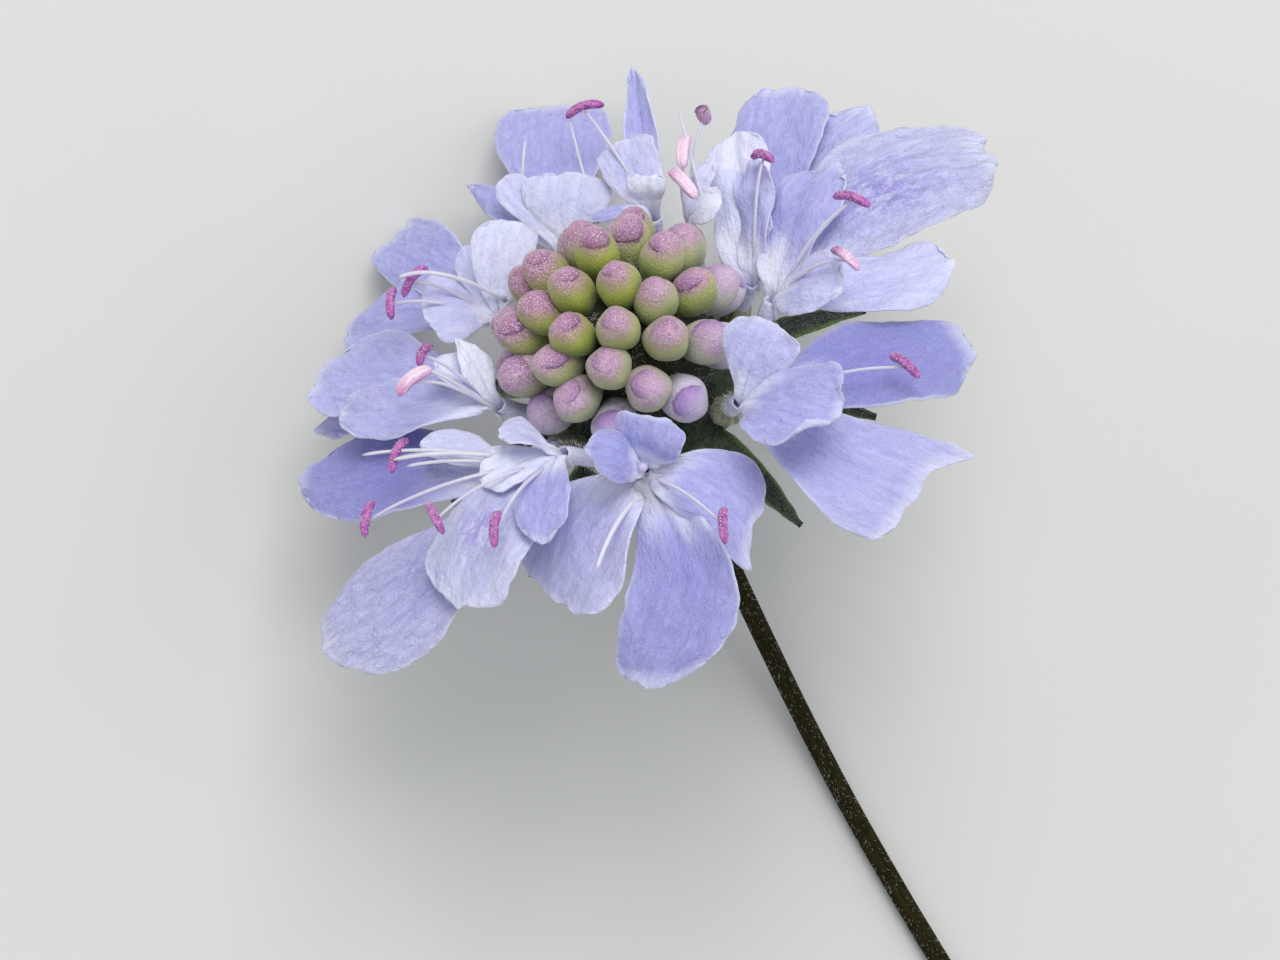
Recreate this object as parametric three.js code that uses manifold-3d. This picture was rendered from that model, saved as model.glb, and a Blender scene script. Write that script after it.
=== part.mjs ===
// Scabious (pincushion flower) head on its cut stem, lying on its side.
// Millimetres, +Z up; the surface it lies on is z = 0 and the stem runs toward -Y.
import * as THREE from "three";
import { mergeVertices } from "three/addons/utils/BufferGeometryUtils.js";
import Module from "manifold-3d";

const wasm = await Module();
wasm.setup();

// ---- driving dimensions ------------------------------------------------------------------------
const HEAD_HEIGHT = 13.0;         // centre of the head above the surface
const FACE_TILT = 40;             // degrees from the surface up to the axis that the flower faces along
const STEM_RADIUS = 0.55;
const STEM_SIDES = 8;
const STEM_RUN = 52;              // straight length that lies on the surface
const STEM_TOP_RISE = -5.2;       // where the stem meets the receptacle, along the face axis
const STEM_SWAY = 1.4;            // how far the stem wanders sideways along its bend
const STEM_SWAY_RUN = 9;          // the part of its run over which it still does
const STEM_FLARE = [1.35, 1.15];  // how the radius grows at the top, as shares
const BLADE = 0.6;                // thickness of petals and bracts
const GAP = 0.3;                  // clearance between neighbouring solids
const WELD = 2e-3;                // corners closer than this are one corner

const DOME_RADIUS = 4.9;          // fattest part of the buds, across the face
const DOME_RISE = 4.3;            // the same along the face axis
const DOME_CENTRE = [150, 0.2, 0.3];
const BUD_RADIUS = 0.97;
const BUD_SIDES = 6;
const BUD_LEAN = 0.86;            // a bud leans out by this share of its ring's tilt
// rings of buds: tilt of the ring from the face axis, number of buds, clock of the first, relative size
const BUD_RINGS = [
  { tilt: 17, count: 3, clock: 54, size: 1.0 },
  { tilt: 36, count: 8, clock: -14, size: 1.02 },
  { tilt: 54, count: 9, clock: -2, size: 1.04 },
  { tilt: 73, count: 9, clock: 18, size: 1.06 },
  { tilt: 93, count: 9, clock: -7, size: 1.1 },
];
// along a bud: distance out from its fattest part and share of its radius there
const BUD_PROFILE = [[1.42, 0.34], [0.9, 0.8], [0, 1.0], [-1.1, 0.74], [-2.0, 0.4]];
// solid middle under the buds: rise and radius
const DOME_CORE = [[-2.6, 2.9], [-0.6, 3.9], [1.4, 3.6], [2.8, 2.4], [3.5, 1.0]];
const DOME_CORE_SIDES = 12;

// receptacle from the stem up: rise and radius
const RECEPTACLE = [[-5.2, 0.9], [-4.7, 2.2], [-4.0, 3.9], [-3.5, 4.7], [-3.3, 4.7]];
const RECEPTACLE_SIDES = 16;

const BRACT_COUNT = 10;
const BRACT_CLOCK = 277;          // clock of the first bract
const BRACT_ROOT = 3.2;           // radius at the receptacle
const BRACT_REACH = 10.6;         // radius at the tip
const BRACT_WIDTH = 1.5;
const BRACT_RISE = -3.9;
const BRACT_EDGE = 0.15;          // how far its edges stand above its midrib
// along a bract: share of its width and rise of its midrib, from root to tip
const BRACT_PROFILE = [[0.8, 0], [1.0, 0.3], [0.95, 0.1], [0.7, -0.3], [0.2, -0.9]];

const TUBE_BASE_RADIUS = 4.4;     // ring that the florets stand on, across the face
const TUBE_BASE_RISE = -3.0;
const TUBE_BEND = [1.6, 1.8];     // the tube bends this far out and up from its base
// ovary in its cup, neck, and the tube that widens to the throat
const TUBE_RADII = [0.5, 0.75, 0.5, 0.45, 0.58, 0.75];
const PIT = { depth: 0.9, above: 0.8, low: 0.12, high: 0.45 };  // hollow of the throat
const LOBE_START = 0.5;           // a lobe's root, out from the middle of its throat
const FILAMENT_RADIUS = 0.27;
const ANTHER_RADIUS = 0.42;
const ANTHER_LENGTH = 1.9;
const ANTHER_ARCH = 0.25;
const STAMEN_ROOT = 0.6;          // below the throat
const STAMEN_ARCH = 1.2;

// Places on the head are [clock, radius, rise]: degrees round the face axis from +X toward the surface,
// mm out from that axis, and mm along it from the plane of the petals.
// A lobe: tip, width, then roll (degrees about its length), turn (how far it looks inward where it stands
// up), bow (rise of its middle), cup (curl of its edges as a share of the width), sway (sideways bend of
// its middle), fold (depth of the crease along it), the shape of its end, fan (how slowly it widens from
// its root), and notch and corner, which cut into its end or draw one side of it out.
// A stamen: tip, lie (how far its anther is turned from pointing outward), its length as a share, and
// stands for an anther that points along the face axis.
const FLORETS = [
  { name: "floret_south", base: 244, throat: [246, 8.6, 1.0],
    lobes: [
      { tip: [239.6, 17.3, -3.0], width: 5.1, bow: 0.6, cup: 0.05, sway: -1.7, end: "blunt", fan: 0.9 },
      { tip: [221.5, 13.1, -2.0], width: 6.6, bow: 0.6, cup: 0.05, sway: 0.3, end: "blunt", fan: 0.8,
        corner: -0.05 },
      { tip: [265, 12.3, -1.0], width: 4.2, bow: 0.8, cup: -0.1, sway: -0.4, end: "blunt", fan: 0.6,
        corner: -0.25 },
      { tip: [234.5, 9.3, 3.8], width: 1.9, turn: -0.4, bow: 0.5, cup: -0.2 },
      { tip: [260, 7.9, 3.1], width: 2.3, turn: -0.4, bow: 0.5, cup: -0.2, end: "blunt" },
    ],
    stamens: [{ tip: [259, 13.7, 1.5], lie: -20 }] },
  { name: "floret_southwest", base: 216, throat: [215, 7.3, 1.0],
    lobes: [
      { tip: [201, 8.4, 2.8], width: 2.2, bow: 0.4, cup: 0.1 },
      { tip: [202, 10.4, 1.7], width: 2.8, bow: 0.3, cup: 0.1 },
      { tip: [223, 12.5, 1.4], width: 2.5, bow: 0.6, cup: 0.1 },
      { tip: [209, 15.5, 0.0], width: 5, bow: 0.9, cup: -0.1, sway: 0.3 },
    ],
    stamens: [
      { tip: [217, 13.1, 3.0], lie: 18 },
      { tip: [204, 13.4, 3.0], lie: 58 },
      { tip: [191, 14.8, 2.5], lie: 40 },
    ] },
  { name: "floret_west_southwest", base: 192, throat: [199, 8.2, 0.0],
    lobes: [
      { tip: [190.6, 19.6, -2.5], width: 6, bow: 0.6, cup: -0.1, sway: -1.2, end: "blunt" },
      { tip: [160, 16.7, -1.4], width: 5, bow: 0.6, cup: -0.1, sway: -0.3, fan: 0.6 },
      { tip: [179, 10.6, 1.6], width: 2.2, bow: 0.3, cup: 0.1 },
    ],
    stamens: [{ tip: [183, 11.8, 2.5], lie: 36 }] },
  { name: "floret_west", base: 168, throat: [176, 6.8, 1.0],
    lobes: [
      { tip: [143.5, 15.3, 0.0], width: 5, bow: 0.4, cup: 0.1, sway: 0.2, end: "blunt" },
      { tip: [157, 13.6, 1.0], width: 3.2, bow: 0.5, cup: 0.1, sway: -0.6, end: "blunt", fan: 0.8 },
      { tip: [157, 7.2, 3.4], width: 1.8, bow: 0.2, cup: 0.1, end: "point" },
      { tip: [159, 8.4, 2.8], width: 2.1, bow: 0.2, cup: 0.1 },
      { tip: [149, 16.0, -2.0], width: 1.8, bow: 0.2, cup: 0.1 },
    ],
    stamens: [{ tip: [174, 9.5, 4.2], lie: 12 }, { tip: [165, 8.6, 4.0], lie: 46, length: 0.6 }] },
  { name: "floret_northwest", base: 136, throat: [128, 6.6, 0.8],
    lobes: [
      { tip: [127.5, 15.6, -1.5], width: 4.1, bow: 0.6, end: "blunt" },
      { tip: [108.7, 16.5, -1.03], width: 3.7, roll: 12, bow: 0.6, sway: 0.1, end: "blunt",
        notch: 0.06, corner: -0.1 },
      { tip: [141, 9.0, 3.0], width: 4, bow: 0.4, end: "blunt" },
      { tip: [99, 7.8, 3.2], width: 3, bow: 0.4, end: "blunt", fan: 0.8 },
      { tip: [109, 10.1, 1.5], width: 1.6, bow: 0.2 },
    ],
    stamens: [{ tip: [142, 10.1, 4.0], lie: 96 }, { tip: [134.5, 9.3, 4.0], lie: 70 }] },
  { name: "floret_north_northwest", base: 94, throat: [86, 6.8, 0.8],
    lobes: [
      { tip: [94, 14.2, 0.4], width: 2.4, bow: 0.4, sway: 0.2, end: "point" },
      { tip: [90, 10.8, 2.7], width: 1.8, bow: 0.2, end: "blunt" },
      { tip: [72.5, 17.3, -0.18], width: 5.6, roll: -12, bow: 0.6, sway: -0.1, end: "blunt" },
      { tip: [73, 9.3, 2.4], width: 4.2, bow: 0.3, end: "blunt", fan: 0.55 },
    ],
    stamens: [] },
  { name: "floret_north", base: 52, throat: [46, 6.8, 2.6],
    lobes: [
      { tip: [57.5, 16.4, 1.5], width: 1.6, bow: 0.3, cup: 0.5, sway: 0.15, end: "spike", fold: 0.4 },
      { tip: [45, 8.4, 3.4], width: 1.6, bow: 0.3, end: "blunt" },
      { tip: [57, 9.9, 2.9], width: 2.2, bow: 0.2, end: "blunt" },
      { tip: [73, 5.9, 2.6], width: 0.9, bow: 0.2 },
    ],
    stamens: [{ tip: [65, 11.7, 3.6], lie: 94 }] },
  { name: "floret_north_northeast", base: 28, throat: [29, 6.2, 1.6],
    lobes: [
      { tip: [11, 6.8, 3.0], width: 1.8, bow: 0.2, end: "blunt" },
      { tip: [25, 8.6, 3.2], width: 1.2, bow: 0.2 },
    ],
    stamens: [
      { tip: [30, 9.9, 4.5], lie: 0, stands: true },
      { tip: [20, 6.0, 4.4], lie: 70, length: 1.2 },
      { tip: [29, 7.7, 4.4], lie: 22 },
    ] },
  { name: "floret_northeast", base: 358, throat: [356, 6.6, 0.6],
    lobes: [
      { tip: [30.4, 16.5, 0.0], width: 4.7, bow: 0.6, end: "blunt" },
      { tip: [18, 17.4, -1.0], width: 4.3, bow: 0.6, sway: -0.3 },
      { tip: [26, 10.7, 3.0], width: 3.1, bow: 0.3, end: "blunt", fan: 0.8 },
      { tip: [16, 9.8, 2.6], width: 1.9, bow: 0.3, sway: 0.2, end: "blunt" },
    ],
    stamens: [{ tip: [9, 9.5, 3.6], lie: 112, length: 0.6 }] },
  { name: "floret_east", base: 334, throat: [337, 6.8, 0.2],
    lobes: [
      { tip: [353.5, 18.9, -1.0], width: 6, roll: -18, bow: 0.6, sway: -1.5, corner: 0.14 },
      { tip: [338.2, 15.0, -1.5], width: 3.9, bow: 0.6, sway: 1, corner: 0.05 },
      { tip: [324, 10.4, 2.0], width: 3.4, bow: 0.4 },
      { tip: [1.5, 12.3, 2.0], width: 3.6, bow: 0.6, sway: -0.2 },
    ],
    stamens: [{ tip: [343, 11.5, 3.2], lie: -46 }, { tip: [327, 10.7, 2.9], lie: -50 }] },
  { name: "floret_southeast", base: 290, throat: [282, 7.8, 1.0],
    lobes: [
      { tip: [319.2, 15.5, -2.0], width: 6.1, roll: 5, bow: 0.6, sway: 0.1, fan: 1.7, corner: 0.12 },
      { tip: [289, 16.3, -1.5], width: 5.6, bow: 0.6, sway: 0.6, end: "flared", corner: 0.16 },
      { tip: [286.5, 13.8, 3.2], width: 4.8, bow: 0.8, sway: 0.3 },
      { tip: [302, 8.3, 3.7], width: 3.4, roll: -60, bow: 0.4, end: "blunt" },
    ],
    stamens: [{ tip: [305, 13.9, 1.2], lie: -28 }] },
];

// how the outline of a lobe runs, as shares: width at its root, where it is widest, width at its end,
// how far the corners of its end are rounded off; and the power of the curve that narrows it
const LOBE_ENDS = {
  round: { root: 0.18, widest: 0.62, end: 0.42, corners: 0.12, power: 2.2 },
  blunt: { root: 0.18, widest: 0.72, end: 0.66, corners: 0.09, power: 2.2 },
  flared: { root: 0.18, widest: 0.85, end: 0.92, corners: 0.04, power: 2.2 },
  point: { root: 0.18, widest: 0.45, end: 0.06, corners: 0.10, power: 1.4 },
  spike: { root: 0.40, widest: 0.36, end: 0.25, corners: 0.10, power: 1.3 },
};
const LARGE_LOBE = 5.0;           // lobes longer than this get the finer grid and the waved end
const WAVE = 0.25;                // depth of the waves along a large lobe's sides
const SCALLOP = 0.015;            // depth of the dips in its end, as a share of its length
const LOBE_TURN = 0.6;            // how far a lobe that stands up looks inward
const LOBE_FAN = 1.4;

const COLOURS = {
  stem: { color: 0x6f7a4d, roughness: 0.7 },
  bract: { color: 0x3f5a34, roughness: 0.75 },
  bud: { color: 0xb7a98f, roughness: 0.6 },
  petal: { color: 0xb9b4e6, roughness: 0.55 },
};

// ---- the head's own frame ----------------------------------------------------------------------
const rad = THREE.MathUtils.degToRad;
const vec = (x, y, z) => new THREE.Vector3(x, y, z);
const sum = (...list) => list.reduce((a, b) => a.add(b), vec(0, 0, 0));
const times = (v, k) => v.clone().multiplyScalar(k);
const minus = (a, b) => a.clone().sub(b);
const unit = (v) => v.clone().normalize();

const FACE = vec(0, Math.cos(rad(FACE_TILT)), Math.sin(rad(FACE_TILT)));
const ACROSS = vec(1, 0, 0);
const DOWN = vec(0, Math.sin(rad(FACE_TILT)), -Math.cos(rad(FACE_TILT)));
const HEAD = vec(0, 0, HEAD_HEIGHT);

const outward = (clock) => sum(times(ACROSS, Math.cos(rad(clock))), times(DOWN, Math.sin(rad(clock))));
const onHead = ([clock, radius, rise]) => sum(HEAD, times(outward(clock), radius), times(FACE, rise));

// ---- solids ------------------------------------------------------------------------------------
function solidOf(positions, indices) {
  const geometry = new THREE.BufferGeometry();
  geometry.setAttribute("position", new THREE.Float32BufferAttribute(positions, 3));
  geometry.setIndex(indices);
  const merged = mergeVertices(geometry, WELD);
  const mesh = new wasm.Mesh({
    numProp: 3,
    vertProperties: merged.attributes.position.array,
    triVerts: Uint32Array.from(merged.index.array),
  });
  return new wasm.Manifold(mesh);
}

const solid = (vertices, triangles) => solidOf(vertices.flatMap((v) => v.toArray()), triangles.flat());

// A closed sheet between two grids of points that are split into triangles alike.
function sheet(upper, lower) {
  const rows = upper.length;
  const columns = upper[0].length;
  const vertices = [...upper.flat(), ...lower.flat()];
  const top = (j, i) => j * columns + i;
  const under = (j, i) => rows * columns + top(j, i);
  const triangles = [];
  for (let j = 0; j < rows - 1; j++) {
    for (let i = 0; i < columns - 1; i++) {
      triangles.push([top(j, i), top(j, i + 1), top(j + 1, i + 1)]);
      triangles.push([top(j, i), top(j + 1, i + 1), top(j + 1, i)]);
      triangles.push([under(j, i), under(j + 1, i + 1), under(j, i + 1)]);
      triangles.push([under(j, i), under(j + 1, i), under(j + 1, i + 1)]);
    }
  }
  const border = [];
  for (let i = 0; i < columns - 1; i++) border.push([0, i]);
  for (let j = 0; j < rows - 1; j++) border.push([j, columns - 1]);
  for (let i = columns - 1; i > 0; i--) border.push([rows - 1, i]);
  for (let j = rows - 1; j > 0; j--) border.push([j, 0]);
  border.forEach(([j, i], k) => {
    const [jn, ni] = border[(k + 1) % border.length];
    triangles.push([top(jn, ni), top(j, i), under(j, i)], [top(jn, ni), under(j, i), under(jn, ni)]);
  });
  return solid(vertices, triangles);
}

// A closed tube along points, with one radius at each; flat is the direction that one facet faces.
function tube(points, radii, sides, flat) {
  const vertices = [];
  const triangles = [];
  points.forEach((p, k) => {
    const along = unit(minus(points[Math.min(k + 1, points.length - 1)], points[Math.max(k - 1, 0)]));
    const side = unit(along.clone().cross(flat));
    const normal = side.clone().cross(along);
    for (let s = 0; s < sides; s++) {
      const angle = (2 * Math.PI * (s + 0.5)) / sides;
      const spoke = sum(times(normal, Math.cos(angle)), times(side, Math.sin(angle)));
      vertices.push(sum(p, times(spoke, radii[k])));
    }
  });
  const at = (k, s) => k * sides + (s % sides);
  for (let k = 0; k < points.length - 1; k++) {
    for (let s = 0; s < sides; s++) {
      triangles.push([at(k, s), at(k, s + 1), at(k + 1, s)], [at(k, s + 1), at(k + 1, s + 1), at(k + 1, s)]);
    }
  }
  const first = vertices.push(points[0].clone()) - 1;
  const last = vertices.push(points.at(-1).clone()) - 1;
  for (let s = 0; s < sides; s++) {
    triangles.push([first, at(0, s + 1), at(0, s)]);
    triangles.push([last, at(points.length - 1, s), at(points.length - 1, s + 1)]);
  }
  return solid(vertices, triangles);
}

const join = (pieces) => pieces.reduce((a, b) => a.add(b));
const largest = (whole) => whole.decompose().reduce((a, b) => (a.volume() > b.volume() ? a : b));
const curve = (a, b, c, steps) => new THREE.QuadraticBezierCurve3(a, b, c).getPoints(steps);

// ---- petals ------------------------------------------------------------------------------------
// grow makes the same form fatter all round, to cut its clearance out of a neighbour.
function lobe(throat, spec, index, grow) {
  const { width, roll = 0, turn = LOBE_TURN, bow = 0, cup = 0, sway = 0, fold = 0 } = spec;
  const { end = "round", fan = LOBE_FAN, notch = 0, corner = 0 } = spec;
  const shape = LOBE_ENDS[end];
  const tip = onHead(spec.tip);
  const direction = unit(minus(tip, throat));
  const root = sum(throat, times(direction, LOBE_START));
  const chord = minus(tip, root);
  const large = chord.length() > LARGE_LOBE;

  // the face of a lobe looks along the head's axis, and that of one that stands up looks inward
  const away = minus(throat, HEAD);
  const outer = unit(minus(away, times(FACE, away.dot(FACE))));
  const looks = minus(FACE, times(outer, turn * Math.max(0, direction.dot(FACE))));
  const flat = unit(minus(looks, times(direction, looks.dot(direction))));
  const side = direction.clone().cross(flat).applyAxisAngle(direction, -rad(roll));
  const face = flat.clone().applyAxisAngle(direction, -rad(roll));

  const rows = large ? 4 : 3;
  const columns = 4;
  const middle = (u, v) => {
    const past = Math.max(0, (v - shape.widest) / (1 - shape.widest));
    const swell = Math.sin((Math.min(1, v / shape.widest) * Math.PI) / 2) ** fan;
    const taper = shape.end + (1 - shape.end) * (1 - past ** shape.power) ** (1 / shape.power);
    const half = ((shape.root + (1 - shape.root) * swell) * taper * width) / 2 + grow;
    const scallop = large ? SCALLOP * Math.sin(Math.PI * u) ** 2 : 0;
    const w = v * (1 - shape.corners * Math.abs(u) ** 2.4 * v * v + grow / chord.length())
      + Math.abs(corner) * Math.max(0, -u * Math.sign(corner)) ** 2.5 * v ** 4
      - (scallop + notch * Math.exp(-((u / 0.22) ** 2))) * v ** 6;
    const arch = 4 * w * (1 - w);
    const ripple = large ? WAVE * Math.abs(u) ** 2 * Math.sin(9 * v + 2.1 * u + index) : 0;
    const crease = fold * half * Math.abs(u);
    return sum(root, times(chord, w), times(face, bow * arch + cup * half * u * u + ripple + crease),
      times(side, sway * arch + half * u));
  };
  const grid = [];
  for (let j = 0; j <= rows; j++) {
    const row = [];
    for (let i = 0; i <= columns; i++) row.push(middle(-1 + (2 * i) / columns, j / rows));
    grid.push(row);
  }
  const shifted = (distance) => grid.map((row, j) => row.map((p, i) => {
    const along = minus(grid[Math.min(j + 1, rows)][i], grid[Math.max(j - 1, 0)][i]);
    const over = minus(row[Math.min(i + 1, columns)], row[Math.max(i - 1, 0)]);
    return sum(p, times(unit(over.cross(along)), distance));
  }));
  const half = BLADE / 2 + grow;
  return sheet(shifted(half), shifted(-half));
}

function stamen(throat, spec, grow) {
  const tip = onHead(spec.tip);
  const bend = sum(times(throat, 0.45), times(tip, 0.55), times(FACE, STAMEN_ARCH));
  const points = curve(sum(throat, times(FACE, -STAMEN_ROOT)), bend, tip, 3);
  const filament = tube(points, points.map(() => FILAMENT_RADIUS + grow), 3, ACROSS);
  const away = minus(tip, HEAD);
  const turned = unit(minus(away, times(FACE, away.dot(FACE)))).applyAxisAngle(FACE, rad(spec.lie));
  const lie = spec.stands ? FACE : turned;
  const half = (ANTHER_LENGTH * (spec.length ?? 1)) / 2 + grow;
  const stations = [-1, -0.6, 0.6, 1];
  const shares = [0.4, 1, 1, 0.4];
  const line = stations.map((s) => sum(tip, times(lie, s * half), times(FACE, ANTHER_ARCH * (1 - s * s))));
  const radii = shares.map((share) => share * ANTHER_RADIUS + grow);
  const anther = tube(line, radii, 4, spec.stands ? ACROSS : FACE);
  return filament.add(anther);
}

function corollaTube(spec, grow) {
  const throat = onHead(spec.throat);
  const base = onHead([spec.base, TUBE_BASE_RADIUS, TUBE_BASE_RISE]);
  const bend = onHead([spec.base, TUBE_BASE_RADIUS + TUBE_BEND[0], TUBE_BASE_RISE + TUBE_BEND[1]]);
  const points = curve(base, bend, throat, TUBE_RADII.length - 1);
  return tube(points, TUBE_RADII.map((radius) => radius + grow), 6, FACE);
}

function floret(spec, grow) {
  const throat = onHead(spec.throat);
  const lobes = spec.lobes.map((one, index) => lobe(throat, one, index, grow));
  const stamens = spec.stamens.map((one) => stamen(throat, one, grow));
  const whole = join([corollaTube(spec, grow), ...lobes, ...stamens]);
  if (grow > 0) return whole;
  const pitLine = [sum(throat, times(FACE, -PIT.depth)), sum(throat, times(FACE, PIT.above))];
  return whole.subtract(tube(pitLine, [PIT.low, PIT.high], 6, ACROSS));
}

// ---- middle of the head ------------------------------------------------------------------------
function bud(tilt, clock, size, grow) {
  const middle = sum(onHead(DOME_CENTRE), times(outward(clock), DOME_RADIUS * Math.sin(rad(tilt))),
    times(FACE, DOME_RISE * Math.cos(rad(tilt))));
  const lean = tilt * BUD_LEAN;
  const axis = sum(times(outward(clock), Math.sin(rad(lean))), times(FACE, Math.cos(rad(lean))));
  const points = BUD_PROFILE.map(([out], k) => sum(middle, times(axis, out * size + (k === 0 ? grow : 0))));
  const radii = BUD_PROFILE.map(([, share]) => share * BUD_RADIUS * size + grow);
  return tube(points, radii, BUD_SIDES, ACROSS);
}

function budDome(grow) {
  const points = DOME_CORE.map(([rise]) => sum(HEAD, times(FACE, rise)));
  const core = tube(points, DOME_CORE.map(([, radius]) => radius + grow), DOME_CORE_SIDES, ACROSS);
  const buds = [];
  for (const { tilt, count, clock, size } of BUD_RINGS) {
    for (let k = 0; k < count; k++) buds.push(bud(tilt, clock + (360 * k) / count, size, grow));
  }
  return join([core, ...buds]);
}

function bract(index) {
  const clock = BRACT_CLOCK + (360 * index) / BRACT_COUNT;
  const side = outward(clock + 90);
  const grid = BRACT_PROFILE.map(([share, rise], j) => {
    const radius = BRACT_ROOT + ((BRACT_REACH - BRACT_ROOT) * j) / (BRACT_PROFILE.length - 1);
    const middle = onHead([clock, radius, BRACT_RISE + rise]);
    return [-1, 0, 1].map((u) => sum(middle, times(side, (u * share * BRACT_WIDTH) / 2),
      times(FACE, BRACT_EDGE * u * u)));
  });
  const shifted = (distance) => grid.map((row) => row.map((p) => sum(p, times(FACE, distance))));
  return sheet(shifted(-BLADE / 2), shifted(BLADE / 2));
}

function involucre(grow) {
  const points = RECEPTACLE.map(([rise], k) => {
    const isTop = k === RECEPTACLE.length - 1;
    return sum(HEAD, times(FACE, isTop ? rise + grow : rise));
  });
  const receptacle = tube(points, RECEPTACLE.map(([, radius]) => radius + grow), RECEPTACLE_SIDES, ACROSS);
  if (grow > 0) return receptacle;
  const bracts = Array.from({ length: BRACT_COUNT }, (_, index) => bract(index));
  return join([receptacle, ...bracts]);
}

// ---- stem --------------------------------------------------------------------------------------
function stemLine() {
  const flatHeight = STEM_RADIUS * Math.cos(Math.PI / STEM_SIDES);
  const top = sum(HEAD, times(FACE, STEM_TOP_RISE - GAP));
  const bendRadius = (top.z - flatHeight) / (1 - Math.cos(rad(FACE_TILT)));
  const bendSteps = 10;
  const points = [];
  for (let k = 0; k <= bendSteps; k++) {
    const turned = (FACE_TILT * k) / bendSteps;
    const left = rad(FACE_TILT - turned);
    const y = top.y - bendRadius * (Math.sin(rad(FACE_TILT)) - Math.sin(left));
    const z = top.z - bendRadius * (Math.cos(left) - Math.cos(rad(FACE_TILT)));
    points.push(vec(0, y, z));
  }
  const bendEnd = points.at(-1);
  for (let k = 1; k <= 4; k++) points.push(vec(0, bendEnd.y - (STEM_SWAY_RUN * k) / 4, flatHeight));
  const first = points[0].y;
  const swayEnd = points.at(-1).y;
  points.forEach((p) => {
    const share = (first - p.y) / (first - swayEnd);
    p.x = (-STEM_SWAY * (1 - Math.cos(Math.PI * share))) / 2;
  });
  points.push(vec(-STEM_SWAY, swayEnd - STEM_RUN + STEM_SWAY_RUN, flatHeight));
  return points;
}

function peduncle() {
  const points = stemLine();
  const radii = points.map((_, k) => STEM_RADIUS * (STEM_FLARE[k] ?? 1));
  return tube(points, radii, STEM_SIDES, vec(0, 0, 1));
}

// ---- assembly ----------------------------------------------------------------------------------
function meshOf(name, whole, colour) {
  const rough = largest(whole).getMesh();
  const { vertProperties, triVerts } = largest(solidOf(rough.vertProperties, [...rough.triVerts])).getMesh();
  const geometry = new THREE.BufferGeometry();
  geometry.setAttribute("position", new THREE.Float32BufferAttribute(vertProperties, 3));
  geometry.setIndex(new THREE.BufferAttribute(triVerts, 1));
  geometry.computeVertexNormals();
  const mesh = new THREE.Mesh(geometry, new THREE.MeshStandardMaterial({ ...COLOURS[colour], metalness: 0 }));
  mesh.name = name;
  return mesh;
}

const flower = new THREE.Group();
flower.add(meshOf("peduncle", peduncle(), "stem"));
flower.add(meshOf("involucre", involucre(0).subtract(budDome(GAP)), "bract"));
flower.add(meshOf("bud_dome", budDome(0), "bud"));
let taken = join([budDome(GAP), involucre(GAP)]);
for (const spec of FLORETS) {
  const free = floret(spec, 0).subtract(taken);
  flower.add(meshOf(spec.name, free, "petal"));
  taken = taken.add(floret(spec, GAP));
}

// the origin goes to the middle of the flower's footprint
const footprint = new THREE.Box3().setFromObject(flower);
const centre = footprint.getCenter(vec(0, 0, 0));
flower.position.set(-centre.x, -centre.y, 0);

export default flower;
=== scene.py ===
"""Scabious (pincushion flower) lying on its cut stem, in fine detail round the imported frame.

Lengths are millimetres until a mesh is made, which turns them into metres. A place on the head is
(clock, radius, rise): degrees round its face, distance from its axis and height along that axis.
"""
import math

import bpy
import numpy as np
from mathutils import Matrix, Vector


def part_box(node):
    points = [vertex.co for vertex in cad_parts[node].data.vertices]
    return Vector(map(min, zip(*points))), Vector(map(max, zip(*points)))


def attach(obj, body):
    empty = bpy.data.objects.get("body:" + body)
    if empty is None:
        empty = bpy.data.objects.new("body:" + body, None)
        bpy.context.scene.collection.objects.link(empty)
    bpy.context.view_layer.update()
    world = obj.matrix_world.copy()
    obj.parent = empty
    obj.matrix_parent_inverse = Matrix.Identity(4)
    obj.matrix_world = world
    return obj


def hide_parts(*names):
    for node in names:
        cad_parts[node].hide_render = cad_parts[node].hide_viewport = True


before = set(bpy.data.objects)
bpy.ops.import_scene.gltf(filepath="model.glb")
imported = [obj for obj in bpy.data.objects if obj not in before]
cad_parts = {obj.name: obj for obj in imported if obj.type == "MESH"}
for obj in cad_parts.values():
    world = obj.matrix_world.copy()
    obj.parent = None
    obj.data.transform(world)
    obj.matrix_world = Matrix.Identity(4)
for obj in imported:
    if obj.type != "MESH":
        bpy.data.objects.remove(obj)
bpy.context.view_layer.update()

MM = 0.001

# ---- sizes shared with the frame ----
HEAD_HEIGHT = 13.0
FACE_TILT = math.radians(40)
STEM_RADIUS = 0.55
STEM_SIDES = 8
STEM_FLAT = STEM_RADIUS * math.cos(math.pi / STEM_SIDES)  # height of its middle where it lies
STEM_RUN = 52
STEM_TOP = -5.5  # along the face axis
STEM_SWAY = 1.4
STEM_SWAY_RUN = 9
STEM_FLARE = 1.35

DOME_RADIUS = 4.9
DOME_RISE = 4.3
DOME_CENTRE = (150, 0.2, 0.3)
BUD_RADIUS = 0.97
BUD_TOP = 1.42
BUD_ROOT = 2.0
BUD_LEAN = 0.86
RIPE_SIDE = 310  # clock of the side whose buds are ahead of the rest
BACK_SIDE = 78  # clock of the side whose buds sit deeper
BACK_SINK = 0.45
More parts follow.
